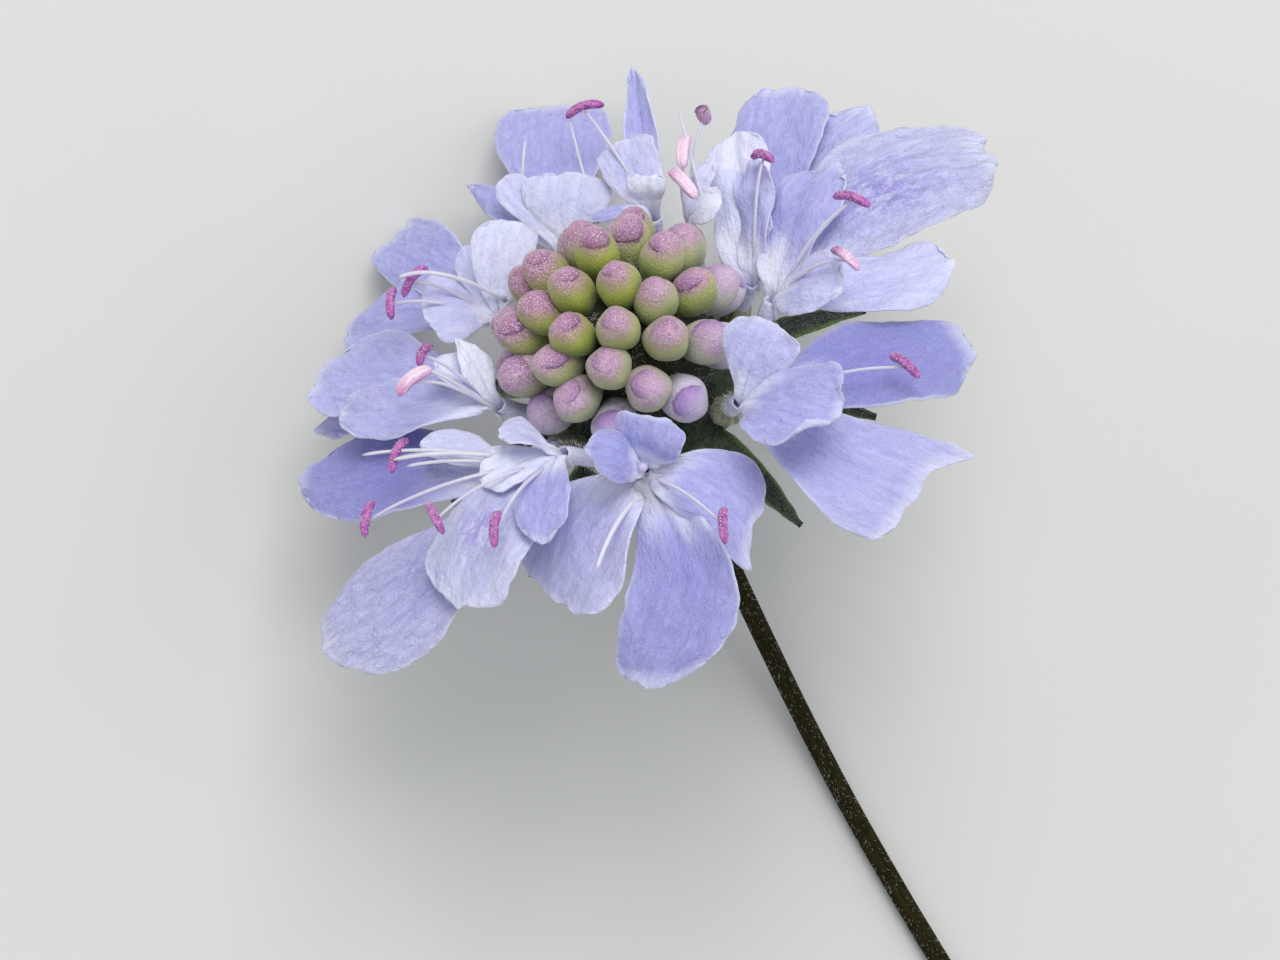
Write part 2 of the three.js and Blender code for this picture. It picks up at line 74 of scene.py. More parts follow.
# rings of buds: tilt from the face axis, number, clock of the first, size, how much it has coloured
BUD_RINGS = [
    (15.5, 3, 54, 1.03, 0.0),
    (36, 8, -14, 1.02, 0.06),
    (54, 9, 2, 1.04, 0.12),
    (73, 9, 18, 1.06, 0.4),
    (93, 9, -7, 1.1, 1.0),
]
DOME_CORE = [(-2.6, 2.9), (-0.6, 3.9), (1.4, 3.6), (2.8, 2.4), (3.5, 1.0)]
RECEPTACLE = [(-5.2, 0.9), (-4.7, 2.2), (-4.0, 3.9), (-3.5, 4.7), (-3.3, 4.7)]

BRACT_COUNT = 10
BRACT_CLOCK = 277
BRACT_ROOT = 3.2
BRACT_REACH = 10.6
BRACT_WIDTH = 1.5
BRACT_RISE = -3.9
BRACT_PROFILE = [(0.8, 0), (1.0, 0.3), (0.95, 0.1), (0.7, -0.3), (0.2, -0.9)]

TUBE_BASE_RADIUS = 4.4
TUBE_BASE_RISE = -3.0
TUBE_BEND = (1.6, 1.8)
TUBE_RADII = (0.5, 0.75, 0.5, 0.45, 0.58, 0.75)
LOBE_START = 0.5
LOBE_TURN = 0.6
LARGE_LOBE = 5.0
WAVE = 0.25
SCALLOP = 0.015
ANTHER_LENGTH = 1.9
ANTHER_ARCH = 0.25
STAMEN_ROOT = 0.6
STAMEN_ARCH = 1.2

# ---- sizes of the fine detail ----
PETAL_MIDDLE = 0.13  # half thickness inside a petal and at its rim
PETAL_RIM = 0.035
RIM_BAYS = (0.09, 0.07)  # depth of the long and the short waves along a lobe's sides
RIM_TEETH = (0.09, 0.05)  # and along its end
CRINKLE = (0.07, 0.04)  # height of the wide and the narrow crinkles of its face
CHANNEL = 0.10  # depth of the channel that leads to its throat
FLUTTER = (0.22, 0.12)  # of the end of a large lobe and of a small one
LARGE_PATCH = 0.15  # violet in the middle of a large lobe
RIM_WHITE = 0.48
CLAW_ROWS = 7
CLAW_DEPTH = 1.1  # how deep a petal's claw reaches into the throat
CLAW_HALF = 0.26  # half its width at its lower end
CLAW_ASIDE = 0.22  # how far that end is from the tube's middle
CLAW_BEND = (0.12, 0.05)  # where it turns into the throat: outward, down

TUBE_STEPS = 40
TUBE_NECK = 14  # step where the white tube leaves its cup
TUBE_MOUTH = -0.26  # how far its mouth departs from TUBE_RADII
TUBE_SIDES = 20
CUP_STEPS = 16
CUP_SIDES = 32
CUP_RIBS = (8, 0.07)  # number, height as a share of the radius

FILAMENT = (0.1, 0.07)  # radius at root and tip
FILAMENT_STEPS = 22
FILAMENT_SIDES = 8
STIGMA_SIDES = 16
ANTHER_RADIUS = 0.22
ANTHER_BEND = 1.6  # how much more it arches than in the frame
ANTHER_RINGS = 25
ANTHER_SIDES = 18
GRAINS = 34  # of pollen on an anther
GRAIN_RADIUS = 0.038

BUD_ROWS, BUD_COLUMNS = 38, 48
RIPE_LEAD = 0.45  # how far the buds of the ripe side are ahead
GRANULAR_TILT = 73  # tilt from which the buds of the late side are granular all over
BUD_DOWN = 60  # hairs on a bud
CORE_STEPS = 24
CORE_SIDES = 40
CORE_DOWN = 1800
RECEPTACLE_STEPS = 30
RECEPTACLE_SIDES = 60
RECEPTACLE_RIBS = (20, 0.015)
BRACT_ROWS, BRACT_COLUMNS = 44, 14
BRACT_DOWN = 420  # hairs on a bract

TUBE_DOWN = 260  # hairs on a tube
STEM_DOWN = 3600
STEM_STEPS = 60
STEM_RINGS_IN_FLARE = 7
STEM_RIBS = (10, 0.045)
SKIN_SIDES = 40
PITH_RINGS = 5
PITH_RADIUS = 0.93  # of the cut face, as a share of the stem's
PITH_DEPTH = 0.12
HAIR_RADIUS = 0.011
BRACT_HAIR = 0.010
STEM_HAIR = 0.009
BUD_HAIR = 0.007

# ---- the florets ----
# what a lobe is unless its floret says otherwise
LOBE = {
    "bow": 0.6,  # how far its middle arches off the line from root to tip
    "cup": 0,  # how steeply its sides rise
    "sway": 0,  # how far its middle swings to one side
    "roll": 0,  # degrees that it is turned about its length
    "turn": LOBE_TURN,  # how far it looks inward where it stands up
    "end": "round",  # its outline, one of LOBE_ENDS
    "fan": 1.4,  # how slowly it widens from its root
    "root": 0.9,  # its least width where it leaves the throat
    "notch": 0,  # depth of the notch in its end
    "corner": 0,  # how far one corner of its end is drawn out, the other one if negative
    "fold": 0,  # how sharply it is creased along its length
    "pale": 0,  # how white it is
    "deep": 0,  # how far painted shade darkens its blue
    "veins": 0.1,  # how dark its root is: dark veins, and painted shade in the throat
    "rough": 0.2,  # how crinkled it is, and how many painted glints it has
}
STAMEN = {
    "length": 1,  # of its anther, as a share of ANTHER_LENGTH
    "plump": 1,  # thickness of its anther, as a share
    "dust": 0,  # how pale pollen makes it
    "young": False,
    "faded": False,
    "stands": False,  # with its anther along the face axis
}


def lobe(tip, width, **more):
    """A lobe with its tip at a place. more may also give patch, its violet middle, which is raised on the
    lobes that lie in shade as painted shade.
    """
    return {**LOBE, "tip": tip, "width": width, **more}


def stamen(tip, lie, **more):
    """A stamen whose anther is at tip and lies at an angle to the way out."""
    return {**STAMEN, "tip": tip, "lie": lie, **more}


# base is the clock of a floret's root, and mouth says how far its mouth departs from TUBE_RADII
FLORETS = [
    {"name": "floret_south", "base": 244, "throat": (246, 8.6, 1.0),
     "lobes": [
         lobe((239.6, 17.3, -3.0), 5.1, cup=0.05, sway=-1.7, end="blunt", fan=0.9, patch=0.5, deep=0.4,
              veins=0.9),
         lobe((221.5, 13.1, -2.0), 6.6, cup=0.05, sway=0.3, end="blunt", fan=0.8, corner=-0.05,
              pale=0.3, veins=0.8),
         lobe((265, 12.3, -1.0), 4.2, bow=0.8, cup=-0.1, sway=-0.4, end="blunt", fan=0.6, corner=-0.25,
              veins=0.8),
         lobe((234.5, 9.3, 3.8), 2.3, turn=-0.4, bow=0.5, cup=-0.2, fan=0.7, root=1.2, patch=0.3,
              deep=0.35),
         lobe((254, 7.9, 3.2), 3.3, turn=-0.4, bow=0.5, cup=-0.2, end="blunt", fan=0.6, root=1.4,
              deep=0.2),
     ],
     "stamens": [stamen((259, 13.7, 1.5), -20)]},
    {"name": "floret_southwest", "base": 216, "throat": (215, 7.3, 1.0),
     "lobes": [
         lobe((201, 8.4, 2.8), 2.2, bow=0.4, cup=0.1, pale=0.4),
         lobe((202, 10.4, 1.7), 2.8, bow=0.3, cup=0.1, pale=1.0),
         lobe((223, 12.5, 1.4), 2.5, cup=0.1),
         lobe((209, 15.5, 0.0), 5.0, bow=0.9, cup=-0.1, sway=0.3, end="blunt", pale=0.5, patch=0.8,
              rough=0.5),
     ],
     "stamens": [
         stamen((217, 13.1, 3.0), 18),
         stamen((204, 13.4, 3.0), 58),
         stamen((191, 14.8, 2.5), 40),
     ]},
    {"name": "floret_west_southwest", "base": 192, "throat": (199, 8.2, 0.0),
     "lobes": [
         lobe((190.6, 19.6, -2.5), 6.0, cup=-0.1, sway=-1.2, end="blunt", pale=0.25, patch=0.8,
              rough=1.0),
         lobe((160, 16.7, -1.4), 5.0, cup=-0.1, sway=-0.3, fan=0.6, patch=1.0, deep=0.6),
         lobe((179, 10.6, 1.6), 2.2, bow=0.3, cup=0.1, pale=0.6),
     ],
     "stamens": [stamen((183, 11.8, 2.5), 36)]},
    {"name": "floret_west", "base": 168, "throat": (176, 6.8, 1.0),
     "lobes": [
         lobe((143.5, 15.3, 0.0), 5.0, bow=0.4, cup=0.1, sway=0.2, end="blunt", pale=0.1),
         lobe((157, 13.6, 1.0), 3.2, bow=0.5, cup=0.1, sway=-0.6, end="blunt", fan=0.8, pale=0.15),
         lobe((157, 7.2, 3.4), 1.8, bow=0.2, cup=0.1, end="point", pale=1.0),
         lobe((159, 8.4, 2.8), 2.1, bow=0.2, cup=0.1, pale=0.9),
         lobe((149, 16.0, -2.0), 1.8, bow=0.2, cup=0.1),
     ],
     "stamens": [
         stamen((174, 9.5, 4.2), 12, young=True),
         stamen((165, 8.6, 4.0), 46, length=0.6),
     ]},
    {"name": "floret_northwest", "base": 136, "throat": (128, 6.6, 0.8),
     "lobes": [
         lobe((127.5, 15.6, -1.5), 4.1, end="blunt"),
         lobe((108.7, 16.5, -1.03), 3.7, roll=12, sway=0.1, end="blunt", notch=0.06, corner=-0.1),
         lobe((141, 9.0, 3.0), 4.0, bow=0.4, end="blunt", pale=0.4),
         lobe((99, 7.8, 3.2), 3.0, bow=0.4, end="blunt", fan=0.8, pale=0.7),
         lobe((109, 10.1, 1.5), 1.6, bow=0.2, pale=0.5),
     ],
     "stamens": [
         stamen((142, 10.1, 4.0), 96),
         stamen((134.5, 9.3, 4.0), 70),
     ]},
    {"name": "floret_north_northwest", "base": 94, "throat": (86, 6.8, 0.8),
     "lobes": [
         lobe((94, 14.2, 0.4), 2.4, bow=0.4, sway=0.2, end="point"),
         lobe((90, 10.8, 2.7), 1.8, bow=0.2, end="blunt", pale=0.5),
         lobe((72.5, 17.3, -0.18), 5.6, roll=-12, sway=-0.1, end="blunt"),
         lobe((73, 9.3, 2.4), 4.2, bow=0.3, end="blunt", fan=0.55, pale=0.55),
     ],
     "stamens": []},
    {"name": "floret_north", "base": 52, "throat": (46, 6.6, 1.7), "mouth": -0.1,
     "lobes": [
         lobe((57.5, 16.4, 1.5), 1.6, bow=0.3, cup=0.5, sway=0.15, end="spike", fold=0.4, pale=0.12),
         lobe((46, 7.4, 3.1), 2.0, bow=0.2, end="blunt", fan=0.9, root=1.2, pale=1.0),
         lobe((57, 9.9, 2.9), 2.9, bow=0.2, end="blunt", fan=0.6, root=1.2, pale=0.4),
         lobe((72, 6.1, 2.1), 0.8, bow=0.2),
     ],
     "stamens": [stamen((65, 11.7, 3.6), 94)]},
    {"name": "floret_north_northeast", "base": 28, "throat": (29, 6.2, 1.6),
     "lobes": [
         lobe((11, 6.8, 3.0), 1.8, bow=0.2, end="blunt", pale=1.0),
         lobe((25, 8.6, 3.2), 1.2, bow=0.2, pale=0.7),
     ],
     "stamens": [
         stamen((30, 9.9, 4.5), 0, stands=True, plump=1.6, dust=0.35, length=0.42),
         stamen((20, 6.0, 4.4), 70, young=True, length=1.2),
         stamen((29, 7.7, 4.4), 22, young=True),
     ]},
    {"name": "floret_northeast", "base": 358, "throat": (350, 6.2, 0.1),
     "lobes": [
         lobe((30.4, 16.5, 0.0), 4.7, end="blunt"),
         lobe((18, 17.4, -1.0), 4.3, sway=-0.3, pale=0.2),
         lobe((26, 10.7, 3.0), 3.1, bow=0.3, end="blunt", fan=0.35, root=1.9, pale=0.9),
         lobe((14.8, 9.7, 2.9), 1.9, bow=0.3, sway=0.2, end="blunt", fan=0.7, root=1.1, pale=0.2,
              patch=0.4),
     ],
     "stamens": [stamen((9, 9.5, 3.6), 112, length=0.6)]},
    {"name": "floret_east", "base": 334, "throat": (337, 6.8, 0.2),
     "lobes": [
         lobe((353.5, 18.9, -1.0), 6.0, roll=-18, sway=-1.5, corner=0.14, pale=0.33, patch=0.9,
              rough=1.0),
         lobe((338.2, 15.0, -1.5), 3.9, sway=1.0, corner=0.05, pale=0.45, patch=0.4),
         lobe((324, 10.4, 2.0), 3.4, bow=0.4, fan=0.6, pale=0.35),
         lobe((1.5, 12.3, 2.0), 3.6, sway=-0.2, fan=0.6, root=1.6, patch=0.5, pale=0.08),
     ],
     "stamens": [
         stamen((343, 11.5, 3.2), -46),
         stamen((327, 10.7, 2.9), -50, faded=True),
     ]},
    {"name": "floret_southeast", "base": 290, "throat": (282, 7.8, 1.0),
     "lobes": [
         lobe((319.2, 15.5, -2.0), 6.1, roll=5, sway=0.1, corner=0.12, fan=1.7, patch=0.9, deep=0.75),
         lobe((289, 16.3, -1.5), 5.6, sway=0.6, end="flared", corner=0.16, pale=0.15, patch=0.4,
              deep=0.15),
         lobe((286.5, 13.8, 3.2), 4.8, bow=0.8, sway=0.3),
         lobe((302, 8.3, 3.7), 3.4, roll=-60, bow=0.4, end="blunt", pale=0.3),
     ],
     "stamens": [stamen((305, 13.9, 1.2), -28)]},
]

# how the outline of a lobe runs, as shares: width at its root, where it is widest, width at its end,
# how far the corners of its end are rounded off; and the power of the curve that narrows it
LOBE_ENDS = {
    "round": {"root": 0.18, "widest": 0.62, "end": 0.42, "corners": 0.12, "power": 2.2},
    "blunt": {"root": 0.18, "widest": 0.72, "end": 0.66, "corners": 0.09, "power": 2.2},
    "flared": {"root": 0.18, "widest": 0.85, "end": 0.92, "corners": 0.04, "power": 2.2},
    "point": {"root": 0.18, "widest": 0.45, "end": 0.06, "corners": 0.10, "power": 1.4},
    "spike": {"root": 0.40, "widest": 0.36, "end": 0.25, "corners": 0.10, "power": 1.3},
}

# styles and filaments that have dropped their anther: root, tip, arch, radius
BARE_FILAMENTS = [
    ((122, 6.3, 1.8), (138, 9.6, 5.0), 1.6, 0.12),
    ((95, 8.9, 0.8), (80.5, 11.4, 3.5), 0.4, 0.09),
    ((70, 7.0, 1.5), (69, 11.9, 3.4), 0.6, 0.07),
    ((19, 6.5, 2.4), (36, 9.6, 5.0), 0.3, 0.09),
    ((215, 7.3, 0.4), (179, 13.1, 3.0), 1.2, 0.10),
    ((215, 7.3, 0.4), (185, 12.2, 3.0), 1.2, 0.12),
    ((212, 7.6, 0.4), (187, 11.9, 2.6), 0.9, 0.10),
    ((176, 6.8, 0.4), (171, 8.8, 4.2), 0.8, 0.11),
    ((246, 8.6, 0.6), (234.6, 13.7, 1.1), 0.9, 0.13),
]

# pale round ends of styles: place, radius
STIGMAS = [((246, 9.0, 1.6), 0.22), ((250, 8.6, 1.6), 0.14)]


# ---- vectors ----
def vec(x, y, z):
    return np.array([x, y, z], dtype=float)


def unit(v):
    return v / np.linalg.norm(v, axis=-1, keepdims=True)


def turned(v, axis, angle):
    """v turned about a unit axis."""
    along = axis * np.dot(v, axis)
    return along + (v - along) * math.cos(angle) + np.cross(axis, v) * math.sin(angle)


def noise2(x, y, seed):
    """Smooth noise from -1 to 1 over a grid of unit cells, the same on each run."""
    x, y = np.broadcast_arrays(np.asarray(x, float), np.asarray(y, float))
    cell_x, cell_y = np.floor(x), np.floor(y)
    part_x, part_y = x - cell_x, y - cell_y
    part_x = part_x**2 * (3 - 2 * part_x)
    part_y = part_y**2 * (3 - 2 * part_y)

    def corner(dx, dy):
        value = np.sin((cell_x + dx) * 127.1 + (cell_y + dy) * 311.7 + seed * 74.7) * 43758.5453
        return 2 * (value - np.floor(value)) - 1

    low = corner(0, 0) * (1 - part_x) + corner(1, 0) * part_x
    high = corner(0, 1) * (1 - part_x) + corner(1, 1) * part_x
    return low * (1 - part_y) + high * part_y


def smoothstep(low, high, x):
    share = np.clip((x - low) / (high - low), 0, 1)
    return share * share * (3 - 2 * share)


def bezier(a, b, c, steps):
    t = np.linspace(0, 1, steps + 1)[:, None]
    return (1 - t) ** 2 * a + 2 * t * (1 - t) * b + t**2 * c


def through(values, steps):
    """Values spread evenly over a line, on a smooth curve through them."""
    values = np.asarray(values, float)
    padded = np.concatenate([[2 * values[0] - values[1]], values, [2 * values[-1] - values[-2]]])
    place = np.linspace(0, len(values) - 1, steps + 1)
    k = np.minimum(place.astype(int), len(values) - 2)
    t = place - k
    p0, p1, p2, p3 = padded[k], padded[k + 1], padded[k + 2], padded[k + 3]
    return 0.5 * (2 * p1 + (p2 - p0) * t + (2 * p0 - 5 * p1 + 4 * p2 - p3) * t**2
                  + (3 * p1 - p0 - 3 * p2 + p3) * t**3)


# ---- the head's own frame ----
ACROSS = vec(1, 0, 0)
FACE = vec(0, math.cos(FACE_TILT), math.sin(FACE_TILT))
DOWN = vec(0, math.sin(FACE_TILT), -math.cos(FACE_TILT))


def stem_line(steps):
    """The middle of the stem from its top to its cut end, seen from a head at x = y = 0."""
    top = vec(0, 0, HEAD_HEIGHT) + FACE * STEM_TOP
    bend_radius = (top[2] - STEM_FLAT) / (1 - math.cos(FACE_TILT))
    left = FACE_TILT * (1 - np.linspace(0, 1, steps + 1))
    y = top[1] - bend_radius * (math.sin(FACE_TILT) - np.sin(left))
    z = top[2] - bend_radius * (np.cos(left) - math.cos(FACE_TILT))
    run_steps = steps * 2
    run = y[-1] - np.linspace(0, STEM_RUN, run_steps + 1)[1:]
    y, z = np.concatenate([y, run]), np.concatenate([z, np.full(run_steps, STEM_FLAT)])
    share = np.clip((y[0] - y) / (y[0] - y[steps] + STEM_SWAY_RUN), 0, 1)
    x = -STEM_SWAY * (1 - np.cos(np.pi * share)) / 2
    return np.stack([x, y, z], axis=1)


stem_low = np.array(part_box("peduncle")[0]) / MM
stem_end = stem_line(8)[-1]
HEAD = vec(stem_low[0] + STEM_FLAT - stem_end[0], stem_low[1] - stem_end[1], HEAD_HEIGHT)


def outward(clock):
    clock = np.radians(clock)
    return np.multiply.outer(np.cos(clock), ACROSS) + np.multiply.outer(np.sin(clock), DOWN)


def on_head(place):
    clock, radius, rise = place
    return HEAD + outward(clock) * radius + FACE * rise


def way_out(point):
    """The way from the face axis to a point."""
    away = point - HEAD
    return unit(away - FACE * np.dot(away, FACE))


# ---- meshes ----
def add_object(name, data):
    made = bpy.data.objects.new(name, data)
    bpy.context.scene.collection.objects.link(made)
    return made


class Shape:
    """Gathers grids of points in mm, each point with a place on the map and named tones."""

    def __init__(self):
        self.points, self.faces, self.maps, self.tones, self.count = [], [], [], [], 0

    def add(self, points, faces, uv=None, **tones):
        points = np.asarray(points, float).reshape(-1, 3)
        uv = np.zeros((len(points), 2)) if uv is None else np.asarray(uv, float).reshape(-1, 2)
        self.points.append(points)
        self.maps.append(uv)
        self.faces.extend((np.asarray(face) + self.count).tolist() for face in faces)
        self.tones.append({name: np.broadcast_to(value, len(points)) for name, value in tones.items()})
        self.count += len(points)

    def build(self, name, material, slot, replaces=()):
        points = np.concatenate(self.points)
        mesh = bpy.data.meshes.new(name)
        mesh.from_pydata((points * MM).tolist(), [], self.faces)
        uv_layer = mesh.uv_layers.new(name="surface")
        corners = np.zeros(len(mesh.loops), dtype=np.int32)
        mesh.loops.foreach_get("vertex_index", corners)
        uv_layer.data.foreach_set("uv", np.concatenate(self.maps)[corners].astype(np.float32).ravel())
        for tone in self.tones[0]:
            values = np.concatenate([tones[tone] for tones in self.tones]).astype(np.float32)
            mesh.attributes.new(tone, "FLOAT", "POINT").data.foreach_set("value", values)
        mesh.shade_smooth()
        mesh.materials.append(material)
        mesh.validate()
        piece = add_object(name, mesh)
        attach(piece, "root")
        if replaces:
            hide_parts(*replaces)


def grid_faces(rows, columns, start=0, wrap=False):
    """Quads between rows x columns points, wound so that rows x columns looks up."""
    last = columns if wrap else columns - 1
    j, i = np.meshgrid(np.arange(rows - 1), np.arange(last), indexing="ij")
    here, beside = start + j * columns + i, start + j * columns + (i + 1) % columns
    return np.stack([here, beside, beside + columns, here + columns], axis=-1).reshape(-1, 4)


def add_blade(shape, middle, half, uv, **tones):
    """A closed thin blade on both sides of a grid of middle points, half as thick as half says."""
    rows, columns = middle.shape[:2]
    along = np.gradient(middle, axis=0)
    over = np.gradient(middle, axis=1)
    normal = unit(np.cross(over, along))
    upper, lower = middle + normal * half[..., None], middle - normal * half[..., None]
    top = grid_faces(rows, columns)
    under = grid_faces(rows, columns, rows * columns)[:, ::-1]
    border = [(0, i) for i in range(columns - 1)] + [(j, columns - 1) for j in range(rows - 1)]
    border += [(rows - 1, i) for i in range(columns - 1, 0, -1)] + [(j, 0) for j in range(rows - 1, 0, -1)]
    ring = np.array([j * columns + i for j, i in border])
    after = np.roll(ring, -1)
    rim = np.stack([after, ring, ring + rows * columns, after + rows * columns], axis=-1)
    faces = np.concatenate([top, under, rim])
    both = {name: np.tile(value.ravel(), 2) for name, value in tones.items()}
    shape.add(np.stack([upper, lower]), faces, np.stack([uv, uv]), **both)


def frames_along(points, flat):
    """Unit vectors across a line: normal keeps near flat, side is square to it."""
    along = unit(np.gradient(points, axis=0))
    side = unit(np.cross(along, flat))
    return along, np.cross(side, along), side


def angles(count):
    """Angles in equal steps round a full turn."""
    return 2 * np.pi * np.arange(count) / count


def spokes(normal, side, angle):
    """Unit vectors that stand off a line, each at its angle from normal to side."""
    return normal * np.cos(angle)[:, None] + side * np.sin(angle)[:, None]


def ribbed(ribs, sides):
    """The form of a tube with a number of ribs of a height."""
    count, height = ribs
    return 1 + height * np.cos(count * angles(sides))


def rings_along(points, normal, side, radius, angle):
    """Rings of points round a line, each point at its radius and at its angle from normal to side."""
    return (points[:, None] + normal[:, None] * (radius * np.cos(angle))[..., None]
            + side[:, None] * (radius * np.sin(angle))[..., None])


def closed_faces(rings, sides):
    """Faces of a closed tube, whose two end points come after the points of its rings."""
    here = np.arange(sides)
    beside = np.roll(here, -1)
    first, last = rings * sides, rings * sides + 1
    low = (rings - 1) * sides
    start = np.stack([np.full(sides, first), beside, here], axis=-1)
    end = np.stack([np.full(sides, last), low + here, low + beside], axis=-1)
    return [*grid_faces(rings, sides, wrap=True), *start, *end]


def with_ends(values, rings, sides):
    """Values for the points of the rings, and then for the two end points."""
    grid = np.broadcast_to(values, (rings, sides))
    return np.append(grid.ravel(), grid[[0, -1], 0])


def add_tube(shape, points, radii, sides, flat, form=1.0, **tones):
    """A closed tube along points. form changes the radius by ring and angle; tones run along it."""
    count, angle = len(points), angles(sides)
    _, normal, side = frames_along(points, flat)
    rings = rings_along(points, normal, side, np.asarray(radii)[:, None] * form * np.ones(sides), angle)
    length = np.concatenate([[0], np.cumsum(np.linalg.norm(np.diff(points, axis=0), axis=1))])
    uv = np.stack(np.broadcast_arrays(angle / (2 * np.pi), length[:, None]), axis=-1)
    uv = np.concatenate([uv.reshape(-1, 2), [[0.5, 0], [0.5, length[-1]]]])
    tones = {name: with_ends(np.broadcast_to(value, count)[:, None], count, sides)
             for name, value in tones.items()}
    ends = np.stack([points[0], points[-1]])
    shape.add(np.concatenate([rings.reshape(-1, 3), ends]), closed_faces(count, sides), uv, **tones)


def add_hairs(shape, roots, directions, lengths, radius=HAIR_RADIUS):
    """Thin three-sided spikes that stand on roots, all in one mesh."""
    directions = unit(directions)
    guide = np.where(np.abs(directions[:, 2:]) < 0.9, [[0, 0, 1.0]], [[1.0, 0, 0]])
    side = unit(np.cross(directions, guide))
    other = np.cross(directions, side)
    corners = [roots + radius * (side * math.cos(a) + other * math.sin(a)) for a in angles(3)]
    tips = roots + directions * np.asarray(lengths)[:, None]
    points = np.stack(corners + [tips], axis=1)
    start = np.arange(len(roots))[:, None] * 4
    faces = np.concatenate([start + np.array(f) for f in ((0, 1, 3), (1, 2, 3), (2, 0, 3), (2, 1, 0))])
    shape.add(points, faces)


# ---- materials ----
def srgb(red, green, blue):
    """A colour given as screen values of 0 to 255, as the shader wants it."""
    def linear(c):
        c /= 255
        return c / 12.92 if c <= 0.04045 else ((c + 0.055) / 1.055) ** 2.4
    return (linear(red), linear(green), linear(blue), 1.0)


MIX_COLOURS = (6, 7)  # the inputs of a Mix node that take colours
MIX_RESULT = 2  # and its output that gives one


class Nodes:
    """Short names for the nodes of one material."""

    def __init__(self, name, roughness, **constants):
        self.material = bpy.data.materials.new(name)
        self.material.use_nodes = True
        self.tree = self.material.node_tree
        self.shader = self.tree.nodes["Principled BSDF"]
        self.fill(self.shader, Roughness=roughness, **constants)

    def feed(self, socket, value):
        if isinstance(value, bpy.types.NodeSocket):
            self.tree.links.new(value, socket)
        else:
            socket.default_value = value

    def fill(self, node, **values):
        """Sets or links inputs by their names, with _ for a space."""
        for name, value in values.items():
            self.feed(node.inputs[name.replace("_", " ")], value)

    def new(self, kind, **values):
        node = self.tree.nodes.new("ShaderNode" + kind)
        self.fill(node, **values)
        return node

    def tone(self, name):
        node = self.new("Attribute")
        node.attribute_name = name
        return node.outputs["Fac"]

    def place(self, scale):
        """Coordinates in cells per mm: two scales take the surface's own map, three the object's frame."""
        if len(scale) == 2:
            out, scale = self.new("UVMap").outputs["UV"], (*scale, 1)
        else:
            out, scale = self.new("TexCoord").outputs["Object"], [s / MM for s in scale]
        return self.new("Mapping", Vector=out, Scale=scale).outputs["Vector"]

    def noise(self, scale, detail=3.0, roughness=0.55, distortion=0.0):
        node = self.new("TexNoise", Vector=self.place(scale), Scale=1.0, Detail=detail,
                        Roughness=roughness, Distortion=distortion)
        return node.outputs["Fac"]

    def cells(self, scale, smoothness=0.6):
        node = self.new("TexVoronoi")
        node.feature = "SMOOTH_F1"
        self.fill(node, Vector=self.place(scale), Scale=1.0, Smoothness=smoothness)
        return node.outputs["Distance"]

    def math(self, operation, *values):
        node = self.new("Math")
        node.operation = operation
        for socket, value in zip(node.inputs, values):
            self.feed(socket, value)
        return node.outputs[0]

    def times(self, a, b):
        return self.math("MULTIPLY", a, b)

    def plus(self, a, b):
        return self.math("ADD", a, b)

    def minus(self, a, b):
        return self.math("SUBTRACT", a, b)

    def between(self, value, low, high):
        """Value from low to high as 0 to 1, held at both ends."""
        node = self.new("MapRange", Value=value, From_Min=low, From_Max=high)
        node.interpolation_type = "SMOOTHSTEP"
        return node.outputs["Result"]

    def mix(self, share, *colours):
        """From one colour to another by share. A colour is linked, or given as screen values."""
        node = self.new("Mix", Factor=share)
        node.data_type = "RGBA"
        for number, colour in zip(MIX_COLOURS, colours):
            self.feed(node.inputs[number], srgb(*colour) if isinstance(colour, tuple) else colour)
        return node.outputs[MIX_RESULT]

    def colour(self, value):
        self.fill(self.shader, Base_Color=value)

    def bump(self, height, depth):
        """Depth is how far the height's range of 1 stands up, in mm."""
        node = self.new("Bump", Strength=1.0, Distance=depth * MM, Height=height)
        self.fill(self.shader, Normal=node.outputs["Normal"])


def soft(weight, scale, radius):
    """Light that enters a thin, moist organ and comes out again near by."""
    return {"Subsurface_Weight": weight, "Subsurface_Scale": scale * MM, "Subsurface_Radius": radius}


